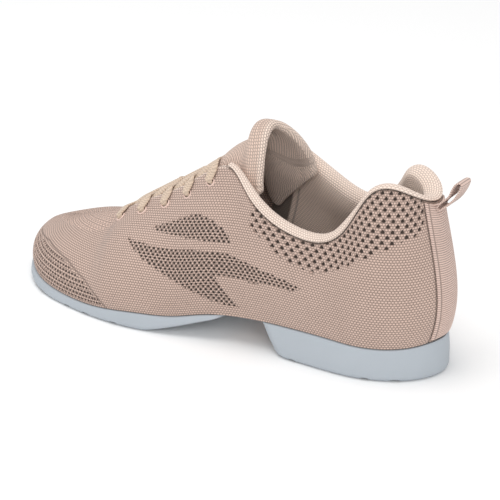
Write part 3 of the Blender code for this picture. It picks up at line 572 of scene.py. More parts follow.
def seam_of(line, u, v, width):
    """How near each place is to a line, from 0 to 1."""
    nearest = np.full(np.shape(u), 1e9)
    for (x0, y0), (x1, y1) in zip(line, line[1:]):
        along = np.clip(((u - x0) * (x1 - x0) + (v - y0) * (y1 - y0))
                        / ((x1 - x0) ** 2 + (y1 - y0) ** 2), 0, 1)
        away = np.hypot(u - x0 - along * (x1 - x0), v - y0 - along * (y1 - y0))
        nearest = np.minimum(nearest, away)
    return ease(1.0 - nearest / width)


TOE_SEAM_DEEP, RIM_SEAM_DEEP, STRIP_SEAM_DEEP = 0.35, 0.45, 0.40     # millimetres
EYELET_HALF = 0.0025, 0.00195       # half width and half height of the hole in the knit
EYELET_RIM = 0.00275, 0.00062       # radius of the bonded rim and of its tube
HALF_COLUMNS = 640
OUTER_ROWS = 124
INNER_ROWS = 12


def half_upper(shoe, side, look):
    """One side of the knitted upper, from the toe's ridge and the throat to under the foot."""
    n = HALF_COLUMNS + 1
    t = np.linspace(0.0, shoe.half, n)
    step = t[1]
    wider = np.concatenate([[-step], t, [shoe.half + step]]) * side
    v = np.linspace(0.0, 1.0, OUTER_ROWS + 1)
    *ends, out = (h[:, None] for h in shoe.handles(wider))
    face = shoe.soften_toe(bezier(*ends, v[None, :, None]))
    normal = unit(np.cross(np.gradient(face, axis=0), np.gradient(face, axis=1))) * side
    rise = unit(np.gradient(face, axis=1))
    face, normal, rise, out = face[1:-1], normal[1:-1], rise[1:-1], out[1:-1, 0]
    apex = np.linalg.norm(face - face[:1, -1:], axis=-1)    # the columns crowd at the ridge's start
    steady = unit(normal[(apex > 0.004) & (apex < 0.008)].mean(axis=0))
    normal = unit(normal + (steady - normal) * (1.0 - ease((apex - 0.002) / 0.006))[..., None])
    middle = run_length(face[:, OUTER_ROWS // 2])
    u = np.broadcast_to((middle / MM)[:, None], face.shape[:2])
    h = run_length(face, axis=1) / MM
    height = h[:, -1:]

    sink = np.zeros_like(h)
    fields = {}
    for field in FIELDS:
        fields[field.name] = in_outline(u, h, field.outline).astype(float)
        sink += holes_of(field, u, h) * field.deep
    below_rim = height - h
    in_throat = (t > shoe.ridge_t)[:, None] & (t < shoe.collar_t)[:, None]
    collar = ease((t - shoe.collar_t + 0.004) / 0.004)[:, None]
    toe_seam = seam_of(TOE_SEAM, u, h, 0.8)
    rim_seam = ease(1.0 - below_rim / 1.3) * collar
    across_heel = np.linalg.norm(face - face[-1:], axis=-1) / MM
    # a line just beside the heel strip's edges, sunk a little and painted dark as the strip's
    # shadow
    strip_edge_dent_and_shadow = ease(1.0 - np.abs(across_heel - STRIP_WIDTH / MM / 2 - 0.3) / 0.9)
    seam = np.maximum(np.maximum(toe_seam, rim_seam), strip_edge_dent_and_shadow)
    sink += toe_seam * TOE_SEAM_DEEP + rim_seam * RIM_SEAM_DEEP + strip_edge_dent_and_shadow * STRIP_SEAM_DEEP
    # eyelet pockets, which the knit's look paints dark as painted shade inside the holes
    pockets = np.zeros_like(h)
    for place, eye_v, _ in shoe.eyelets():
        centre = shoe.skin(place * side, eye_v)
        away = face - centre
        up = unit(shoe.skin(place * side, eye_v + 0.01) - centre)
        across = unit(np.cross(up, shoe.outward(place * side, eye_v)))
        ring = np.hypot(away @ across / EYELET_HALF[0], away @ up / EYELET_HALF[1])
        pockets = np.maximum(pockets, ease((1.25 - ring) / 0.5))
    sink = np.maximum(sink, pockets * 1.7)
    # pale band along the throat's edge: painted highlight on its rolled lip
    edge = np.where(in_throat, ease(1.0 - below_rim / 1.8), 0.0)
    # slow unevenness of the cloth, in millimetres, that dies out towards both edges
    swell = (0.22 * np.sin(u / 11.0 + 1.7) * np.sin(h / 9.0 + 0.6)
             + 0.14 * np.sin(u / 6.3 - h / 7.0)) * ease(h / 12.0) * ease(below_rim / 8.0)
    face = face + normal * ((swell - sink) * MM)[..., None]

    coarse = np.linspace(OUTER_ROWS, 0, INNER_ROWS + 1).round().astype(int)
    inner = face[:, coarse] + normal[:, coarse] * ((sink[:, coarse] * MM) - WALL)[..., None]
    free = (ease((t - shoe.ridge_t) / 0.004) * (1.0 - collar[:, 0]))[:, None]
    lip = []
    for turn in (0.2, 0.5, 0.8):
        lip.append(face[:, -1] - normal[:, -1] * WALL * turn
                   + rise[:, -1] * free * 0.35 * WALL * sin(pi * turn))
    feather = face[:, 0]
    alongs = shoe.share_of(feather[:, 1])
    arch = (alongs < ARCH_FRONT + 0.012) & (alongs > ARCH_BACK - 0.022)
    mirror = shoe.handles(-t * side)[0]
    middle_line = (feather + mirror) / 2.0
    turns = np.array((1.0, 0.8, 0.6, 0.4, 0.2, 0.08))
    margins = []
    for turn in turns:
        row = feather.copy()
        row[:, 0:2] -= out[:, 0:2] * MARGIN * turn
        row[arch] = feather[arch] + (middle_line[arch] - feather[arch]) * turn
        row[:, 2] = shoe.feather_height(shoe.share_of(row[:, 1]))
        margins.append(row)
    lifted = [row + np.array((0.0, 0.0, WALL)) for row in margins[::-1]]
    section = np.stack(margins + [face[:, j] for j in range(OUTER_ROWS + 1)] + lip
                       + [inner[:, j] for j in range(INNER_ROWS + 1)] + lifted, axis=1)
    m = section.shape[1]
    first = len(margins)
    last = first + OUTER_ROWS + 1

    def padded(values):
        whole = np.zeros((n, m))
        whole[:, first:last] = values
        whole[:, last:last + len(lip)] = values[:, -1:]
        return whole

    turned_in = h[:, :1] - MARGIN / MM * turns[None]
    rows = np.concatenate([turned_in, h, h[:, -1:] + np.array((.6, 1.2, 1.8))[None], h[:, coarse],
                           turned_in[:, ::-1]], axis=1)
    uv = paired(u[:, :1], rows) * MM
    name = "upper_outer_side" if side > 0 else "upper_inner_side"
    marks = {"hole": padded(pockets), "seam": padded(seam), "edge": padded(edge)}
    marks.update({key: padded(values) for key, values in fields.items()})
    faces = grid_faces(n, m, close_m=True)
    return add_piece(name, section, faces, look, uv=uv, marks=marks, sharp=60)


def eyelet_rims(shoe, look):
    """Bonded oval rims round the eyelets, flush with the knit."""
    points, faces = [], []
    around, tube = 40, 10
    for side in (1, -1):
        for place, eye_v, _ in shoe.eyelets():
            centre = shoe.skin(place * side, eye_v)
            out = shoe.outward(place * side, eye_v)
            up = unit(shoe.skin(place * side, eye_v + 0.01) - centre)
            across = unit(np.cross(up, out))
            start = len(points)
            for i in range(around):
                a = 2 * pi * i / around
                spoke = across * cos(a) * 1.0 + up * sin(a) * 0.85
                for j in range(tube):
                    b = 2 * pi * j / tube
                    points.append(centre + spoke * (EYELET_RIM[0] + EYELET_RIM[1] * cos(b))
                                  + out * (0.40e-3 * sin(b) + 0.02e-3))
            faces += (grid_faces(around, tube, True, True) + start).tolist()
    return add_piece("eyelet_rims", points, faces, look)


LINING_FRONT = 0.405        # seam where the collar's lining meets the vamp's, share of the length


def collar_lining(shoe, look):
    """Padded collar: a roll on the upper's rim and a lining that thins out down the inside."""
    places = np.linspace(shoe.collar_t, shoe.period - shoe.collar_t, 361)
    coarse = []
    for place in places:
        top = shoe.skin(place, 1.0)
        normal = top - shoe.skin(place, 1.0, 1.0)
        rim = shoe.skin(place + 1e-3, 1.0) - shoe.skin(place - 1e-3, 1.0)
        rise = np.cross(normal, rim)
        rise *= (1.0 if rise[2] > 0 else -1.0) / np.linalg.norm(rise)
        pad = shoe.collar_pad(place)
        low = ease((shoe.instep_height - top[2]) / (shoe.instep_height - shoe.dip_height) * 1.4)
        roll = COLLAR_ROLL * (0.62 + 0.38 * low)
        skin = WALL + 1.5 * CLEARANCE

        def at(depth, up):
            return top - normal * depth + rise * up

        section = [at(0.0006, CLEARANCE), at(-0.0006, 0.30 * roll), at(0.05 * pad, 0.72 * roll),
                   at(0.30 * pad, 0.96 * roll), at(0.62 * pad, 0.98 * roll),
                   at(0.9 * pad + 0.4 * WALL, 0.70 * roll), at(pad + WALL, 0.1 * roll)]
        levels = np.linspace(0.2, 1.0, 13)
        swell = ease((levels[-2:0:-1] - 0.45) / 0.45)
        section += list(shoe.skin(place, levels[-2:0:-1], skin + LINING + (pad - LINING) * swell))
        section += list(shoe.skin(place, levels[0], [skin + LINING, skin]))
        section += list(shoe.skin(place, levels[2::2], skin))
        coarse.append(section)
    coarse = np.array(coarse)
    dense = smooth_through(coarse.transpose(1, 0, 2), 6, closed=True).transpose(1, 0, 2)
    n, m = dense.shape[:2]
    uv = paired(run_length(dense[:, m // 4])[:, None], run_length(dense, axis=1))
    # the roll made paler than the rest: painted highlight
    roll = np.zeros(m)
    roll[3:40] = 1.0
    roll[34:46] = np.linspace(1.0, 0.0, 12)
    seam = np.zeros(m)
    seam[[0, 1, 2, m - 1]] = 1.0, 0.8, 0.3, 1.0
    # pale piping at the lining's seam; ahead of it the vamp lining is painted dark as painted
    # shade, through the hole mark; a dark seam line lies behind the piping
    front = shoe.share_of(dense[..., 1]) - LINING_FRONT - (0.060 - dense[..., 2])
    below = dense[..., 2] < 0.072
    piping = ease(1.0 - np.abs(front) / 0.004) * below
    dark = ease((front - 0.004) / 0.004) * below
    beside = ease(1.0 - np.abs(front + 0.007) / 0.003) * below
    marks = {"hole": dark, "seam": np.maximum(np.tile(seam, (n, 1)), beside),
             "edge": np.maximum(np.tile(roll, (n, 1)), piping)}
    return add_piece("padded_collar", dense, loft_faces(n, m), look, uv=uv, marks=marks, sharp=70)


def smooth_along(rows, count):
    """count rows on one smooth curve through the given ones, which may lie unevenly."""
    rows = np.asarray(rows, float)
    n = len(rows)
    gap = np.linalg.norm(np.diff(rows, axis=0), axis=-1).mean(axis=1)
    knots = np.concatenate([[0.0], np.cumsum(gap)])
    matrix, right = np.zeros((n, n)), np.zeros_like(rows)
    for i in range(n - 1):
        rate = 3.0 * (rows[i + 1] - rows[i]) / gap[i] ** 2
        for k in (i, i + 1):
            matrix[k, k] += 2.0 / gap[i]
            matrix[k, 2 * i + 1 - k] += 1.0 / gap[i]
            right[k] += rate
    slope = np.linalg.solve(matrix, right.reshape(n, -1)).reshape(rows.shape)
    where = np.linspace(0.0, knots[-1], count)
    i = np.clip(np.searchsorted(knots, where, "right") - 1, 0, n - 2)
    h = gap[i].reshape(-1, 1, 1)
    u = (where - knots[i]).reshape(-1, 1, 1) / h
    return hermite(rows[i], h * slope[i], rows[i + 1], h * slope[i + 1], u)


WING = 6                    # points down each side of the tongue, below its arch
WING_FOOT = ((0.436, 0.062), (0.424, 0.060))    # lowest point of each free line: along, height
NEAR_SHORTER = (0.020, 0.050)                   # how much sooner each ends on the outer side


def tongue_face(shoe):
    """Lines across the tongue's upper face, from its root to its free rim."""
    skin = WALL + CLEARANCE
    eyelet = shoe.at_along(LAST_EYELET, top=True)
    root = shoe.at_along(TONGUE_FRONT, top=True)
    last = shoe.collar_t
    under = np.linspace(10 / 12, 1.0, 16)
    lines = []
    for t, sewn in ((root, skin + 0.0022), (shoe.ridge_t, skin + 0.0014)):
        lines.append(np.vstack([shoe.skin(t, under, sewn), shoe.skin(-t, under[-2::-1], sewn)]))
    for t in np.linspace(shoe.ridge_t, last, 11)[1:]:
        beside = float(ease((t - eyelet) / (last - eyelet)))
        depth = skin + (COLLAR_END_PAD + 3.0 * CLEARANCE) * beside
        tuck = np.linspace(10 / 12 - 0.22 * beside, 11 / 12, WING)
        over = shoe.bridge(t, np.linspace(0, 1, 19), depth)
        lines.append(np.vstack([shoe.skin(t, tuck, depth), over, shoe.skin(-t, tuck[::-1], depth)]))
    for arch, (low_along, low_height), shorter in zip(TONGUE_END, WING_FOOT, NEAR_SHORTER):
        crest = np.array((0.0, shoe.y_of(arch.crest_along), arch.crest_height * shoe.tongue_height))
        top_height = arch.edge_height * shoe.tongue_height
        halves = []
        for side in (1, -1):
            edge_along = arch.edge_along + (shorter if side > 0 else 0.0)
            wing = [shoe.beside_collar(low_along + (edge_along - low_along) * share ** 1.3,
                                       low_height + (top_height - low_height) * share, side)
                    for share in np.linspace(0.0, 1.0, WING)[:-1]]
            edge = shoe.beside_collar(edge_along, top_height, side)
            lower = edge + np.array((0.0, 0.0, arch.climb * (crest[2] - edge[2])))
            upper = crest + np.array((arch.spread * edge[0], 0.0, 0.0))
            sweep = np.linspace(0.0, 1.0, 11)[:, None]
            halves.append(np.vstack([wing, bezier(edge, lower, upper, crest, sweep)]))
        lines.append(np.vstack([halves[0], halves[1][-2::-1]]))
    return smooth_along(lines, 110)


RIM_ROLL = 0.0042           # rolled edge along the tongue's free rim


def tongue(shoe, look):
    face = smooth_through(tongue_face(shoe).transpose(1, 0, 2), 3).transpose(1, 0, 2)
    rows, count = face.shape[:2]
    normal = unit(np.cross(np.gradient(face, axis=0), np.gradient(face, axis=1)))
    if normal[rows // 2, count // 2, 2] < 0:
        normal = -normal
    forward = unit(np.gradient(face, axis=0))
    share = np.linspace(0, 1, rows)
    pad = TONGUE_ROOT + (TONGUE_PAD - TONGUE_ROOT) * ease(share * 1.6)
    across = np.linspace(-1.0, 1.0, count)
    thick = pad[:, None] * (1.0 - np.abs(across) ** 6 * 0.55)[None]
    to_rim = run_length(face)[-1:] - run_length(face)
    stitch = ease(1.0 - np.abs(to_rim - RIM_ROLL) / 0.0012)
    face = face - normal * (0.00055 * stitch)[..., None]
    sections = []
    for i in range(rows):
        under = face[i] - normal[i] * thick[i][:, None]
        sections.append(np.vstack([face[i], under[::-1]]))
    for turn in (0.35, 0.6, 0.8, 0.93, 1.0):
        shrink = (1.0 - turn ** 2) ** 0.5
        half = thick[-1][:, None] / 2
        centre = face[-1] - normal[-1] * half + forward[-1] * half * turn * 0.9
        top = centre + normal[-1] * half * shrink
        bottom = centre - normal[-1] * half * shrink
        sections.append(np.vstack([top, bottom[::-1]]))
    sections = np.array(sections)
    n, m = sections.shape[:2]
    along = run_length(sections, axis=0)
    up = run_length(sections, axis=1)
    from_rim = along[-1:] - along
    under = (np.arange(m) >= count)[None]
    seam = ease(1.0 - np.abs(from_rim - RIM_ROLL) / 0.0007) * ~under
    # the rolled rim made paler as a painted highlight, and the underside made paler as painted
    # light on its shaded side
    edge = np.maximum(ease((RIM_ROLL - from_rim) / 0.001), 0.6 * under)
    marks = {"hole": np.zeros((n, m)), "seam": seam, "edge": edge}
    return add_piece("padded_tongue", sections, loft_faces(n, m), look,
                     uv=np.stack([up, along], -1), marks=marks, sharp=70)


def tape_sections(line, normal, width, thick, count=18):
    """Cross sections of a flat tape along a line. normal is the way its outer face looks."""
    tangent = unit(np.gradient(line, axis=0))
    side = unit(np.cross(tangent, normal))
    normal = unit(np.cross(side, tangent))
    a = np.arange(count) * 2 * pi / count
    x = np.sign(np.cos(a)) * np.abs(np.cos(a)) ** 0.55
    y = np.sign(np.sin(a)) * np.abs(np.sin(a)) ** 0.75
    return (line[:, None] + side[:, None] * (x[None, :, None] * width[:, None, None] / 2)
            + normal[:, None] * (y[None, :, None] * thick / 2))


def lace_runs(shoe, look):
    """Flat lace over the throat. Each run leaves its eyelet, bends over the throat's edge, crosses
    and ends under the other edge. The first is a bar with both ends in eyelets."""
    places = shoe.eyelets()
    thick = shoe.lace_thickness
    lift = thick / 2 + 0.15 * MM

    def leave(place, sign):
        """Up from an eyelet to the throat's edge: points, ways the face looks, shares of width."""
        t, v, w = place[0] * sign, place[1], place[2]
        out, hole = shoe.outward(t, v), shoe.skin(t, v)
        up = unit(shoe.skin(t, v + 0.01) - hole)
        return [(hole - out * 2.0 * MM - up * 0.5 * MM, -up, 0.62),
                (hole - out * 0.2 * MM - up * 0.5 * MM, -up, 0.70),
                (hole + out * (lift + 0.55 * MM) + up * 0.5 * MM, out * 0.8 - up * 0.6, 0.82),
                (shoe.skin(t, w, -lift - 0.2 * MM), out, 0.96),
                (shoe.skin(t, 0.995, -lift), out, 1.0)]

    jobs = [(0, 0, 1)]
    for i in range(1, len(places)):
        jobs += [(i, i - 1, 1), (i, i - 1, -1)]
    points, faces, uvs = [], [], []
    for start, end, side in jobs:
        t0, t1 = places[start][0], places[end][0]
        bar = start == end
        rows = leave(places[start], side)
        low = max(0.0, WALL - lift - 0.3 * MM - (thick if side < 0 else 0.0))
        for share in np.linspace(0.10, 0.90, 9):
            t = t0 + (t1 - t0) * share
            u = share if side > 0 else 1.0 - share
            depth = -lift + (low + lift) * sin(pi * share) ** 0.8
            if not bar and share > 0.6:
                depth = depth + (WALL + 0.3 * MM - depth) * float(ease((share - 0.6) / 0.36))
            here = shoe.bridge(t, [u], depth)[0]
            above = shoe.bridge(t, [u], depth - 1.0 * MM)[0]
            rows.append((here, unit(above - here), 1.0))
        if bar:
            rows += leave(places[end], -side)[::-1]
        else:
            t = -t1 * side
            rows += [(shoe.skin(t, v, depth), shoe.outward(t, v), 0.9)
                     for v, depth in ((0.99, WALL + 0.6 * MM), (0.955, WALL + 0.9 * MM))]
        packed = smooth_through([np.hstack(row) for row in rows], 8)
        centre, out, size = packed[:, 0:3], unit(packed[:, 3:6]), packed[:, 6]
        sections = tape_sections(centre, out, size * shoe.lace_width, thick)
        n, m = sections.shape[:2]
        base = sum(len(p) for p in points)
        faces += [[k + base for k in f] for f in loft_faces(n, m)]
        points.append(sections.reshape(-1, 3))
        across = np.cos(np.arange(m) * 2 * pi / m) * shoe.lace_width / 2
        uvs.append(paired(run_length(centre)[:, None], across[None]).reshape(-1, 2))
    return add_piece("flat_laces", np.vstack(points), faces, look, uv=np.vstack(uvs), sharp=70)


def ribbed(run, pitch, depth):
    return depth * (0.5 + 0.5 * np.cos(2 * pi * run / pitch))


def heel_strip(shoe, look):
    """Ribbed strip up the middle of the heel."""
    v = np.linspace(0.03, 0.985, 300)
    middle = shoe.skin(np.full(len(v), shoe.half), v)
    run = run_length(middle)
    across = np.linspace(-1.0, 1.0, 49)
    flat = shoe.skin(np.array([shoe.half - STRIP_WIDTH / 2, shoe.half + STRIP_WIDTH / 2])[None],
                     v[:, None])
    scale = STRIP_WIDTH / np.linalg.norm(flat[:, 1] - flat[:, 0], axis=1)
    places = shoe.half + across[None] * STRIP_WIDTH / 2 * scale[:, None]
    body = 1.0 - 0.75 * np.abs(across) ** 10
    ribs = ribbed(run, 1.15 * MM, 0.30 * MM)[:, None] * (np.abs(across) < 0.80)[None]
    groove = ease(1.0 - np.abs(np.abs(across) * STRIP_WIDTH / 2 - STRIP_BINDING) / 0.0008)
    thick = STRIP_THICKNESS * body[None] - ribs - 0.0004 * groove[None]
    inner = shoe.skin(places, v[:, None], -CLEARANCE)
    outer = shoe.skin(places, v[:, None], -CLEARANCE - np.maximum(thick, 0.2 * MM))
    sections = np.concatenate([inner, outer[:, ::-1]], axis=1)
    n, m = sections.shape[:2]
    uv = paired(run[:, None], np.concatenate([across, across[::-1]])[None] * STRIP_WIDTH / 2)
    return add_piece("ribbed_strip", sections, loft_faces(n, m), look, uv=uv, sharp=60)


def pull_loop(shoe, look):
    """Tape folded on itself, sewn at the top of the heel strip and standing out behind it."""
    root = shoe.skin(shoe.half, 0.975, -(2.0 * CLEARANCE + STRIP_THICKNESS + TAPE / 2.0))
    # distance back and up from the root, and half width, as shares of the loop's length
    folds = ((.00, .00, .34), (.10, .17, .34), (.24, .31, .34), (.38, .46, .33), (.47, .68, .32),
             (.58, .88, .31), (.72, .97, .31), (.80, .92, .31), (.76, .76, .31), (.67, .58, .32),
             (.56, .40, .33), (.42, .24, .34), (.24, .08, .34), (.10, -.04, .34))
    path = smooth_through(np.array(folds), 16, closed=True)
    line = np.zeros((len(path), 3))
    line[:, 1], line[:, 2] = path[:, 0] * LOOP_LENGTH, path[:, 1] * LOOP_LENGTH
    line = line + root
    tangent = unit(np.roll(line, -1, 0) - np.roll(line, 1, 0))
    out = np.cross(tangent, (1.0, 0.0, 0.0))
    run = run_length(np.vstack([line, line[:1]]))[:-1]
    across = np.linspace(-1.0, 1.0, 17)
    rib = ribbed(run, run[-1] / round(run[-1] / (1.1 * MM)), 0.16 * MM)[:, None]
    rib = rib * (np.abs(across) < .85)
    half = TAPE / 2 * (1.0 - 0.6 * np.abs(across) ** 10)[None] - rib / 2
    x = across[None] * path[:, 2:3] * LOOP_WIDTH * 1.6
    spine = line[:, None] + np.stack([x, 0 * x, 0 * x], -1)
    upper = spine + out[:, None] * half[..., None]
    lower = spine - out[:, None] * half[..., None]
    sections = np.concatenate([upper, lower[:, ::-1]], axis=1)
    n, m = sections.shape[:2]
    uv = paired(run[:, None], np.concatenate([x, x[:, ::-1]], 1))
    return add_piece("ribbed_loop", sections, grid_faces(n, m, True, True), look, uv=uv, sharp=60)


def spread(count):
    share = np.linspace(0.0, 1.0, count)
    return 0.6 * share + 0.4 * (1.0 - np.cos(pi * share)) / 2.0


def corner_draw(line, end_y):
    """How far a sole's outline is drawn in near its straight end, for a round corner."""
    near = np.clip(SOLE_CORNER - np.abs(line[:, 1] - end_y), 0.0, SOLE_CORNER)
    return SOLE_CORNER - np.sqrt(SOLE_CORNER ** 2 - near ** 2)


def forefoot_tread(shoe, along):
    toe = TOE_SPRING * ease((along - SPRING_BREAK) / (1.0 - SPRING_BREAK))
    back = np.clip((TREAD_BREAK - along) / (TREAD_BREAK - ARCH_FRONT), 0.0, None) ** 1.2
    rest = shoe.feather_height(ARCH_FRONT) - CLEARANCE - SOLE_EDGE
    return toe + rest * back


def sole_pad(shoe, name, look, place_of, profile, tread, grooves, reach):
    """A rubber pad in plan rings, each two facing lines. profile lists offset and height share."""
    straight_end = -1 if name == "forefoot_rubber" else 0
    rings = []
    for offset, share in profile:
        t = place_of(share)
        end_y = float(shoe.handles(t[straight_end])[0][0, 1])
        lines = []
        for places in (t, -t):
            plain = shoe.plan(places, 0.0)
            line = shoe.plan(places, offset - corner_draw(plain, end_y))
            along = shoe.share_of(line[:, 1])
            top = shoe.feather_height(along) - CLEARANCE
            low = tread(along)
            line[:, 2] = low + (top - low) * share
            lines.append(line)
        rings.append(lines)
    across = np.linspace(0.0, 1.0, 49)[1:-1]
    bottom = between(*rings[-1], across)
    bottom[..., 2] = tread(shoe.share_of(bottom[..., 1]))
    cover = between(*rings[0], across)
    cover[..., 2] = shoe.feather_height(shoe.share_of(cover[..., 1])) - CLEARANCE
    # one closed belt for each place along the pad: up the outer wall, over, down the inner, back
    wall_outer = np.stack([r[0] for r in rings[::-1]], 1)
    wall_inner = np.stack([r[1] for r in rings], 1)
    belt = np.concatenate([wall_outer, cover, wall_inner, bottom[:, ::-1]], axis=1)
    x, y, z = belt[..., 0], belt[..., 1], belt[..., 2]
    for share in grooves:
        bow = -0.06 * reach * (1.0 - np.clip(x / reach, -1, 1) ** 2)
        away = np.abs(y - shoe.y_of(share) - bow)
        depth = GROOVE_DEPTH * ease((GROOVE_WIDTH * 0.62 - away) / (GROOVE_WIDTH * 0.30))
        floor = tread(shoe.share_of(y)) + depth
        z = np.where(depth > 0, np.maximum(z, floor), z)
    belt[..., 2] = z
    n, m = belt.shape[:2]
    uv = np.stack([belt[..., 1], run_length(belt, axis=1)], -1)
    return add_piece(name, belt, loft_faces(n, m), look, uv=uv, sharp=40, weld=1e-6)


# Offset from the feather line, in ledges, and height of each line down a sole's side wall
WALL_PROFILE = ((-.15, 1.0), (0.75, .995), (1.0, .96), (1.15, .85), (1.4, .70), (1.55, .55),
                (1.6, .40))


def side_wall(height, base, foot=()):
    """Offsets and height shares of a pad's side, from its top to its rounded lower edge."""
    rounding = SOLE_ROUND / height
    wall = [(ledges, share) for ledges, share in WALL_PROFILE if share > rounding * 1.05]
    wall = [(ledges * SOLE_LEDGE, share) for ledges, share in wall + list(foot)]
    return wall + [(base * SOLE_LEDGE - SOLE_ROUND * (1 - cos(a)), rounding * (1 - sin(a)))
                   for a in np.linspace(0, pi / 2, 8)]


def soles(shoe, look):
    end = shoe.at_along(ARCH_FRONT)
    fore = sole_pad(shoe, "forefoot_rubber", look, lambda share: end * spread(260),
                    side_wall(FOREFOOT_SOLE, 1.7), lambda along: forefoot_tread(shoe, along),
                    FOREFOOT_GROOVES, shoe.widths["ball"] * 0.75)
    upper_end, lower_end = shoe.at_along(ARCH_BACK), shoe.at_along(HEEL_BREAST + 0.010)

    def heel_place(share):
        start = lower_end + (upper_end - lower_end) * share ** 0.9
        start += (shoe.half - start) * 0.03 * float(ease(1.0 - share / (SOLE_ROUND / HEEL_SOLE)))
        return start + (shoe.half - start) * spread(200)

    heel = sole_pad(shoe, "heel_rubber", look, heel_place, side_wall(HEEL_SOLE, 1.6, [(1.6, 0.25)]),
                    lambda along: 0.0 * along, HEEL_GROOVES, shoe.widths["heel"] * 0.75)
    return fore, heel


def insole(shoe, look):
    t = np.linspace(0.0, shoe.half, 160)
    inset = WALL + 4.0 * CLEARANCE
    rings = []
    for offset, lift in ((1.0, 0.0), (1.0, 0.55), (1.08, 0.80), (1.35, 0.96), (1.9, 1.0)):
        lines = []
        for places in (t, -t):
            line = shoe.plan(places, -inset * offset)
            floor = shoe.feather_height(shoe.share_of(line[:, 1])) + WALL + CLEARANCE
            line[:, 2] = floor + INSOLE * lift
            lines.append(line)
        rings.append(lines)
    across = np.linspace(0.0, 1.0, 33)[1:-1]
    top, low = between(*rings[-1], across), between(*rings[0], across)
    top[..., 2] -= (0.9 * MM) * np.sin(pi * across)[None]
    belt = np.concatenate([np.stack([r[0] for r in rings], 1), top,
                           np.stack([r[1] for r in rings[::-1]], 1), low[:, ::-1]], axis=1)
    n, m = belt.shape[:2]
    return add_piece("insole_pad", belt, loft_faces(n, m), look,
                     uv=np.stack([belt[..., 1], belt[..., 0]], -1), sharp=60, weld=1e-6)


# Finishes

KNIT_HIGHLIGHT_AND_PIPING = (0.93, 0.76, 0.655)     # painted highlight along rolled edges and painted light on the tongue's shaded underside; also the colour of the collar lining's pale piping


class Web:
    """Shorthand for building a node tree."""

    def __init__(self, tree):
        self.tree = tree

    def put(self, socket, value):
        if isinstance(value, bpy.types.NodeSocket):
            self.tree.links.new(value, socket)
        else:
            socket.default_value = value

    def add(self, kind, **inputs):
        node = self.tree.nodes.new(kind)
        for key, value in inputs.items():
            self.put(node.inputs[key], value)
        return node

    def use(self, group, **inputs):
        node = self.tree.nodes.new("ShaderNodeGroup")
        node.node_tree = group
        for key, value in inputs.items():
            self.put(node.inputs[key], value)
        return node

    def math(self, operation, *values):
        node = self.tree.nodes.new("ShaderNodeMath")
        node.operation = operation
        for socket, value in zip(node.inputs, values):
            self.put(socket, value)
        return node.outputs[0]

    plus, less = partialmethod(math, "ADD"), partialmethod(math, "SUBTRACT")
    times, over = partialmethod(math, "MULTIPLY"), partialmethod(math, "DIVIDE")

    def range(self, value, low, high, to_low, to_high):
        node = self.tree.nodes.new("ShaderNodeMapRange")
        for socket, v in zip(node.inputs, (value, low, high, to_low, to_high)):
            self.put(socket, v)
        return node.outputs[0]

    def mix(self, share, first, second):
        node = self.tree.nodes.new("ShaderNodeMix")
        node.data_type = "RGBA"
        for socket, value in zip((0, 6, 7), (share, first, second)):
            self.put(node.inputs[socket], value)
        return node.outputs[2]

    def mark(self, name):
        node = self.tree.nodes.new("ShaderNodeAttribute")
        node.attribute_name = name
        return node.outputs["Fac"]

    def cloth(self):
        node = self.tree.nodes.new("ShaderNodeUVMap")
        node.uv_map = "cloth"
        return node.outputs["UV"]

    def along_and_across(self):
        return self.add("ShaderNodeSeparateXYZ", Vector=self.cloth()).outputs[0:2]

    def place(self):
        return self.tree.nodes.new("ShaderNodeTexCoord").outputs["Object"]

    def noise(self, scale, detail):
        node = self.add("ShaderNodeTexNoise", Vector=self.place(), Scale=scale, Detail=detail)
        return node.outputs["Fac"]

    def yarn(self, amount):
        return self.use(yarn_shade(), Vector=self.place(), Amount=amount).outputs["Shade"]


def group_tree(name, outputs, **inputs):
    """A node group with a vector, float inputs and float outputs; no web if it is made already."""
    if name in bpy.data.node_groups:
        return bpy.data.node_groups[name], None, None, None
    tree = bpy.data.node_groups.new(name, "ShaderNodeTree")
    add, number = tree.interface.new_socket, "NodeSocketFloat"
    add(name="Vector", in_out="INPUT", socket_type="NodeSocketVector")
    for label, default in inputs.items():
        add(name=label, in_out="INPUT", socket_type=number).default_value = default
    for label in outputs:
        add(name=label, in_out="OUTPUT", socket_type=number)
    given, made = tree.nodes.new("NodeGroupInput"), tree.nodes.new("NodeGroupOutput")
    return tree, Web(tree), given.outputs, made.inputs


def knit_loops():
    """Small staggered loops in rows: height of the yarn, and 1 in the gaps between loops."""
    tree, web, given, made = group_tree("Knit loops", ("Height", "Gap"), Loop=0.0012, Row=0.0010)
    if web is None:
        return tree
    x, y = web.add("ShaderNodeSeparateXYZ", Vector=given["Vector"]).outputs[0:2]
    row = web.over(y, given["Row"])
    odd = web.times(web.math("FLOORED_MODULO", web.math("FLOOR", row), 2.0), 0.5)
    q = web.math("FRACT", row)
    lean = web.times(web.math("ABSOLUTE", web.less(q, 0.5)), 0.35)
    column = web.plus(web.over(x, given["Loop"]), odd)
    p = web.math("FRACT", web.plus(column, lean))
    across, up = web.math("SINE", web.times(p, pi)), web.math("SINE", web.times(q, pi))
    bead = web.times(web.math("POWER", across, 0.6), web.math("POWER", up, 0.7))
    web.put(made["Height"], bead)
    web.put(made["Gap"], web.range(bead, 0.35, 0.80, 1.0, 0.0))
    return tree


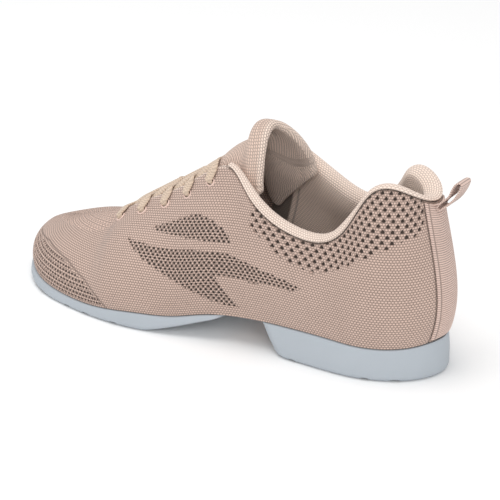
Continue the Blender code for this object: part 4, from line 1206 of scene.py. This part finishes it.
def perforation():
    """Staggered holes of the knit: 1 in a hole. Sizes are in metres on the cloth."""
    tree, web, given, made = group_tree("Perforation", ("Hole",), Pitch=0.003, Row=0.002,
                                        Wide=0.001, Tall=0.001, Taper=0.0)
    if web is None:
        return tree
    x, y = web.add("ShaderNodeSeparateXYZ", Vector=given["Vector"]).outputs[0:2]
    row = web.math("ROUND", web.over(y, given["Row"]))
    shift = web.times(web.math("FLOORED_MODULO", row, 2.0), 0.5)
    steps = web.over(x, given["Pitch"])
    column = web.plus(web.math("ROUND", web.less(steps, shift)), shift)
    across = web.times(web.less(steps, column), given["Pitch"])
    rise = web.over(web.less(y, web.times(row, given["Row"])), web.times(given["Tall"], 0.5))
    narrow = web.times(given["Taper"], web.plus(web.times(rise, 0.5), 0.5))
    side = web.over(across, web.times(web.times(given["Wide"], 0.5), web.less(1.0, narrow)))
    away = web.math("SQRT", web.plus(web.times(side, side), web.times(rise, rise)))
    web.put(made["Hole"], web.range(away, 0.75, 1.15, 1.0, 0.0))
    return tree


def yarn_shade():
    """Slow and fine unevenness of dyed yarn, round 0."""
    tree, web, given, made = group_tree("Yarn shade", ("Shade",), Amount=0.1)
    if web is None:
        return tree
    slow, fine = (web.add("ShaderNodeTexNoise", Vector=given["Vector"], Scale=scale, Detail=detail)
                  for scale, detail in ((45.0, 3.0), (900.0, 2.0)))
    both = web.plus(web.times(slow.outputs["Fac"], 0.6), web.times(fine.outputs["Fac"], 0.4))
    web.put(made["Shade"], web.times(web.less(both, 0.5), given["Amount"]))
    return tree


def new_look(name):
    look = bpy.data.materials.new(name)
    look.use_nodes = True
    return look, Web(look.node_tree), look.node_tree.nodes["Principled BSDF"].inputs


def tint(colour, scale=1.0):
    return tuple(min(1.0, c * scale) for c in colour) + (1.0,)


def surface(web, shader, colour, shade, relief, distance, strength, **values):
    """Colour made lighter or darker by a factor round 0, bump, and the shader's other values."""
    scaled = web.add("ShaderNodeVectorMath")
    scaled.operation = "SCALE"
    web.put(scaled.inputs[0], colour)
    web.put(scaled.inputs["Scale"], web.plus(shade, 1.0))
    web.put(shader["Base Color"], scaled.outputs[0])
    bump = web.add("ShaderNodeBump", Height=relief, Distance=distance, Strength=strength)
    web.put(shader["Normal"], bump.outputs[0])
    for key, value in values.items():
        web.put(shader[{"roughness": "Roughness", "specular": "Specular IOR Level",
                        "sheen": "Sheen Weight"}[key]], value)


# gap: how far the gaps between the loops are darkened, as painted shade
def knit_look(name, colour, loop, row, gap=0.80, fields=()):
    look, web, shader = new_look(name)
    hole, seam = web.mark("hole"), web.mark("seam")
    # paler along the edge mark: painted highlight on rolled edges, painted light on the tongue's
    # underside, and the collar lining's pale piping
    base = web.mix(web.mark("edge"), tint(colour), tint(KNIT_HIGHLIGHT_AND_PIPING))
    loops = web.use(knit_loops(), Vector=web.cloth(), Loop=loop, Row=row).outputs
    # painted shade in the gaps between the knit's loops
    tone = web.mix(web.times(loops["Gap"], gap), base, tint(colour, 0.36))
    # dark: painted shade inside holes; pale: a paler colour for fields that ask for it
    dark, pale = tint(colour, 0.06), tint(colour, 1.35)
    open_knit = hole
    for field in fields:
        holes = web.use(perforation(), Vector=web.cloth(), Pitch=field.pitch * MM,
                        Row=field.row * MM, Wide=field.wide * MM, Tall=field.tall * MM,
                        Taper=field.taper)
        inside = web.range(web.mark(field.name), 0.3, 0.7, 0.0, 1.0)
        here = web.times(holes.outputs["Hole"], inside)
        tone = web.mix(web.times(here, abs(field.dark)), tone, dark if field.dark > 0 else pale)
        open_knit = web.math("MAXIMUM", open_knit, here)
    # painted shade in the eyelet pockets and over the vamp lining ahead of the collar lining's seam
    tone = web.mix(web.times(hole, 0.85), tone, dark)
    # dark seam lines, and painted shadow beside the heel strip's edges
    tone = web.mix(web.times(seam, 0.75), tone, tint(colour, 0.22))
    relief = web.times(loops["Height"], web.less(1.0, open_knit))
    surface(web, shader, tone, web.yarn(0.22), relief, 0.0004, 0.9,
            roughness=0.88, specular=0.25, sheen=0.15)
    return look


STRIP_BINDING = 0.0078      # seam of the strip's binding, from its middle line


def ribbon_look(colour):
    look, web, shader = new_look("ribbed_tape")
    along, across = web.along_and_across()
    rib = web.math("COSINE", web.times(along, 2 * pi / (1.15 * MM)))
    thread = web.math("COSINE", web.times(across, 2 * pi / (0.5 * MM)))
    from_binding = web.math("ABSOLUTE", web.less(web.math("ABSOLUTE", across), STRIP_BINDING))
    binding = web.range(from_binding, 0.0002, 0.0006, 0.85, 0.0)
    # dark in the grooves between the ribs, as painted shade, and along the binding's seam
    dark = web.math("MAXIMUM", web.range(rib, -0.2, 1.0, 0.0, 0.85), binding)
    surface(web, shader, web.mix(dark, tint(colour), tint(colour, 0.35)), web.yarn(0.25),
            thread, 0.00006, 0.8, roughness=0.80, specular=0.3, sheen=0.2)
    return look


def lace_look(colour):
    look, web, shader = new_look("flat_lace")
    along, across = web.along_and_across()
    slant = web.plus(web.times(along, 2 * pi / (1.5 * MM)),
                     web.times(web.math("ABSOLUTE", across), 2 * pi / (1.6 * MM)))
    braid = web.times(web.math("SINE", slant),
                      web.math("SINE", web.times(across, 2 * pi / (1.4 * MM))))
    # darker where the braid is low: painted shade in its hollows
    dark = web.range(braid, -1.0, 0.5, 0.85, 0.0)
    surface(web, shader, web.mix(dark, tint(colour), tint(colour, 0.5)), web.yarn(0.2),
            braid, 0.00012, 0.9, roughness=0.82, specular=0.3, sheen=0.2)
    return look


def rubber_look(colour):
    look, web, shader = new_look("matte_rubber")
    grain, dust = web.noise(1400.0, 2.0), web.noise(60.0, 4.0)
    surface(web, shader, colour, web.times(web.less(dust, 0.5), 0.08), grain, 0.00004, 0.5,
            roughness=web.range(grain, 0.3, 0.7, 0.50, 0.62), specular=0.4)
    return look


def plain_look(name, colour, roughness):
    look, web, shader = new_look(name)
    grain = web.noise(900.0, 2.0)
    surface(web, shader, colour, web.times(web.less(grain, 0.5), 0.25), grain, 0.00008, 0.5,
            roughness=roughness, specular=0.3)
    return look


# Operators

class Piece:
    """Makes one group of pieces, from the shoe's sizes and the colours by name."""
    bl_options = {"REGISTER", "UNDO"}

    def execute(self, context):
        colours = context.scene.sneaker_colours
        self.make(shoe_of(context), {name: tuple(getattr(colours, name))
                                     for name in colours.__annotations__})
        return {"FINISHED"}


class SNEAKER_OT_upper(Piece, bpy.types.Operator):
    """Knit the upper's two sides, with their perforated fields"""
    bl_idname = "sneaker.upper"
    bl_label = "Knitted upper"

    def make(self, shoe, colours):
        look = knit_look("upper_knit", colours["knit"], 1.70 * MM, 1.35 * MM, fields=FIELDS)
        for side in (1, -1):
            piece = half_upper(shoe, side, look)
            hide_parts("upper")


class SNEAKER_OT_eyelets(Piece, bpy.types.Operator):
    """Bond an oval rim round each eyelet"""
    bl_idname = "sneaker.eyelets"
    bl_label = "Eyelet rims"

    def make(self, shoe, colours):
        eyelet_rims(shoe, plain_look("eyelet_rim", (0.74, 0.55, 0.48), 0.45))


class SNEAKER_OT_collar(Piece, bpy.types.Operator):
    """Pad and line the collar"""
    bl_idname = "sneaker.collar"
    bl_label = "Padded collar"

    def make(self, shoe, colours):
        look = knit_look("collar_mesh", colours["lining"], 1.50 * MM, 1.25 * MM, gap=0.5)
        piece = collar_lining(shoe, look)
        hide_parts("collar_lining")


class SNEAKER_OT_tongue(Piece, bpy.types.Operator):
    """Make the padded tongue"""
    bl_idname = "sneaker.tongue"
    bl_label = "Tongue"

    def make(self, shoe, colours):
        look = knit_look("tongue_knit", colours["tongue"], 1.70 * MM, 1.40 * MM, gap=0.65)
        piece = tongue(shoe, look)
        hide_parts("tongue")


class SNEAKER_OT_laces(Piece, bpy.types.Operator):
    """Thread the flat lace through the eyelets"""
    bl_idname = "sneaker.laces"
    bl_label = "Laces"

    def make(self, shoe, colours):
        piece = lace_runs(shoe, lace_look(colours["cord"]))
        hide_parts("laces")


class SNEAKER_OT_heel_tape(Piece, bpy.types.Operator):
    """Sew the ribbed strip and the pull loop at the heel"""
    bl_idname = "sneaker.heel_tape"
    bl_label = "Heel strip and pull loop"

    def make(self, shoe, colours):
        look = ribbon_look(colours["ribbon"])
        for build, node in ((heel_strip, "heel_strip"), (pull_loop, "pull_loop")):
            piece = build(shoe, look)
            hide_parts(node)


class SNEAKER_OT_insole(Piece, bpy.types.Operator):
    """Lay the insole"""
    bl_idname = "sneaker.insole"
    bl_label = "Insole"

    def make(self, shoe, colours):
        piece = insole(shoe, plain_look("insole_cover", colours["foam"], 0.9))
        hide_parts("insole")


class SNEAKER_OT_soles(Piece, bpy.types.Operator):
    """Mould the forefoot and heel soles"""
    bl_idname = "sneaker.soles"
    bl_label = "Split sole"

    def make(self, shoe, colours):
        made = soles(shoe, rubber_look(colours["rubber"]))
        for piece, node in zip(made, ("forefoot_sole", "heel_sole")):
            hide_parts(node)


# The camera stands on the outer side behind the middle: degrees round the shoe, above the floor
# and tilted, then metres away, the point looked at, the lens in millimetres and the picture's shift
CAMERA_TURN, CAMERA_RISE, CAMERA_ROLL = 124.11, 22.5, -0.19
CAMERA_AWAY, CAMERA_AIM = 1.10, (0.0, -0.08777, 0.055)
CAMERA_LENS, CAMERA_SHIFT = 147.33, (0.0410, -0.0616)
LIGHT_AIM = (0.0, -0.09, 0.04)
LIGHTS = (("key", (0.2, -0.3, 1.6), 1.2, 11.0), ("fill", (1.3, 0.9, 1.0), 1.0, 9.0))
WORLD_LIGHT = 0.72
FLOOR_REACH = 6.0


def stand(item, place, turn):
    """Put a light or a camera at a place, turned."""
    item.location = place
    item.rotation_mode = "QUATERNION"
    item.rotation_quaternion = turn
    bpy.context.scene.collection.objects.link(item)
    return item


class SNEAKER_OT_stage(Piece, bpy.types.Operator):
    """Set the pale floor, the soft lights and the camera"""
    bl_idname = "sneaker.stage"
    bl_label = "Stage"

    def execute(self, context):
        scene = context.scene
        mesh = bpy.data.meshes.new("floor")
        corners = [(x * FLOOR_REACH, y * FLOOR_REACH, 0)
                   for x, y in ((-1, -1), (1, -1), (1, 1), (-1, 1))]
        mesh.from_pydata(corners, [], [(0, 1, 2, 3)])
        look, _, shader = new_look("pale_floor")
        shader["Base Color"].default_value = (0.93, 0.93, 0.93, 1.0)
        shader["Roughness"].default_value = 0.9
        shader["Specular IOR Level"].default_value = 0.1
        mesh.materials.append(look)
        floor = bpy.data.objects.new("floor", mesh)
        scene.collection.objects.link(floor)
        world = bpy.data.worlds.new("studio")
        world.use_nodes = True
        background = world.node_tree.nodes["Background"].inputs
        background["Color"].default_value = (1, 1, 1, 1)
        background["Strength"].default_value = WORLD_LIGHT
        scene.world = world
        scene.view_settings.view_transform = "Standard"
        for name, place, size, power in LIGHTS:
            data = bpy.data.lights.new(name, "AREA")
            data.shape = "DISK"
            data.size = size
            data.energy = power
            toward = Vector(place) - Vector(LIGHT_AIM)
            stand(bpy.data.objects.new(name, data), place, toward.to_track_quat("Z", "Y"))

        a, e = radians(CAMERA_TURN), radians(CAMERA_RISE)
        back = Vector((sin(a) * cos(e), -cos(a) * cos(e), sin(e)))
        data = bpy.data.cameras.new("camera")
        data.sensor_width = 36.0
        data.lens = CAMERA_LENS
        data.shift_x, data.shift_y = CAMERA_SHIFT
        roll = Matrix.Rotation(radians(CAMERA_ROLL), 3, "Z")
        turn = back.to_track_quat("Z", "Y").to_matrix() @ roll
        scene.camera = stand(bpy.data.objects.new("camera", data),
                             Vector(CAMERA_AIM) + back * CAMERA_AWAY, turn.to_quaternion())
        return {"FINISHED"}


class SNEAKER_PT_panel(bpy.types.Panel):
    """Lists the pieces of the sneaker"""
    bl_idname = "SNEAKER_PT_panel"
    bl_label = "Dance sneaker"
    bl_space_type = "VIEW_3D"
    bl_region_type = "UI"
    bl_category = "Sneaker"

    def draw(self, context):
        layout = self.layout
        for group in (context.scene.sneaker_sizes, context.scene.sneaker_colours):
            box = layout.box()
            for name in group.__annotations__:
                box.prop(group, name)
        for step in STEPS:
            layout.operator(step.bl_idname)


STEPS = (SNEAKER_OT_upper, SNEAKER_OT_eyelets, SNEAKER_OT_collar, SNEAKER_OT_tongue,
         SNEAKER_OT_laces, SNEAKER_OT_heel_tape, SNEAKER_OT_insole, SNEAKER_OT_soles,
         SNEAKER_OT_stage)
CLASSES = (SneakerSizes, SneakerColours, *STEPS, SNEAKER_PT_panel)


def register():
    for cls in CLASSES:
        bpy.utils.register_class(cls)
    bpy.types.Scene.sneaker_sizes = bpy.props.PointerProperty(type=SneakerSizes)
    bpy.types.Scene.sneaker_colours = bpy.props.PointerProperty(type=SneakerColours)


def unregister():
    del bpy.types.Scene.sneaker_colours
    del bpy.types.Scene.sneaker_sizes
    for cls in reversed(CLASSES):
        bpy.utils.unregister_class(cls)


def main():
    register()
    for step in STEPS:
        family, name = step.bl_idname.split(".")
        getattr(getattr(bpy.ops, family), name)()


if __name__ == "__main__":
    main()
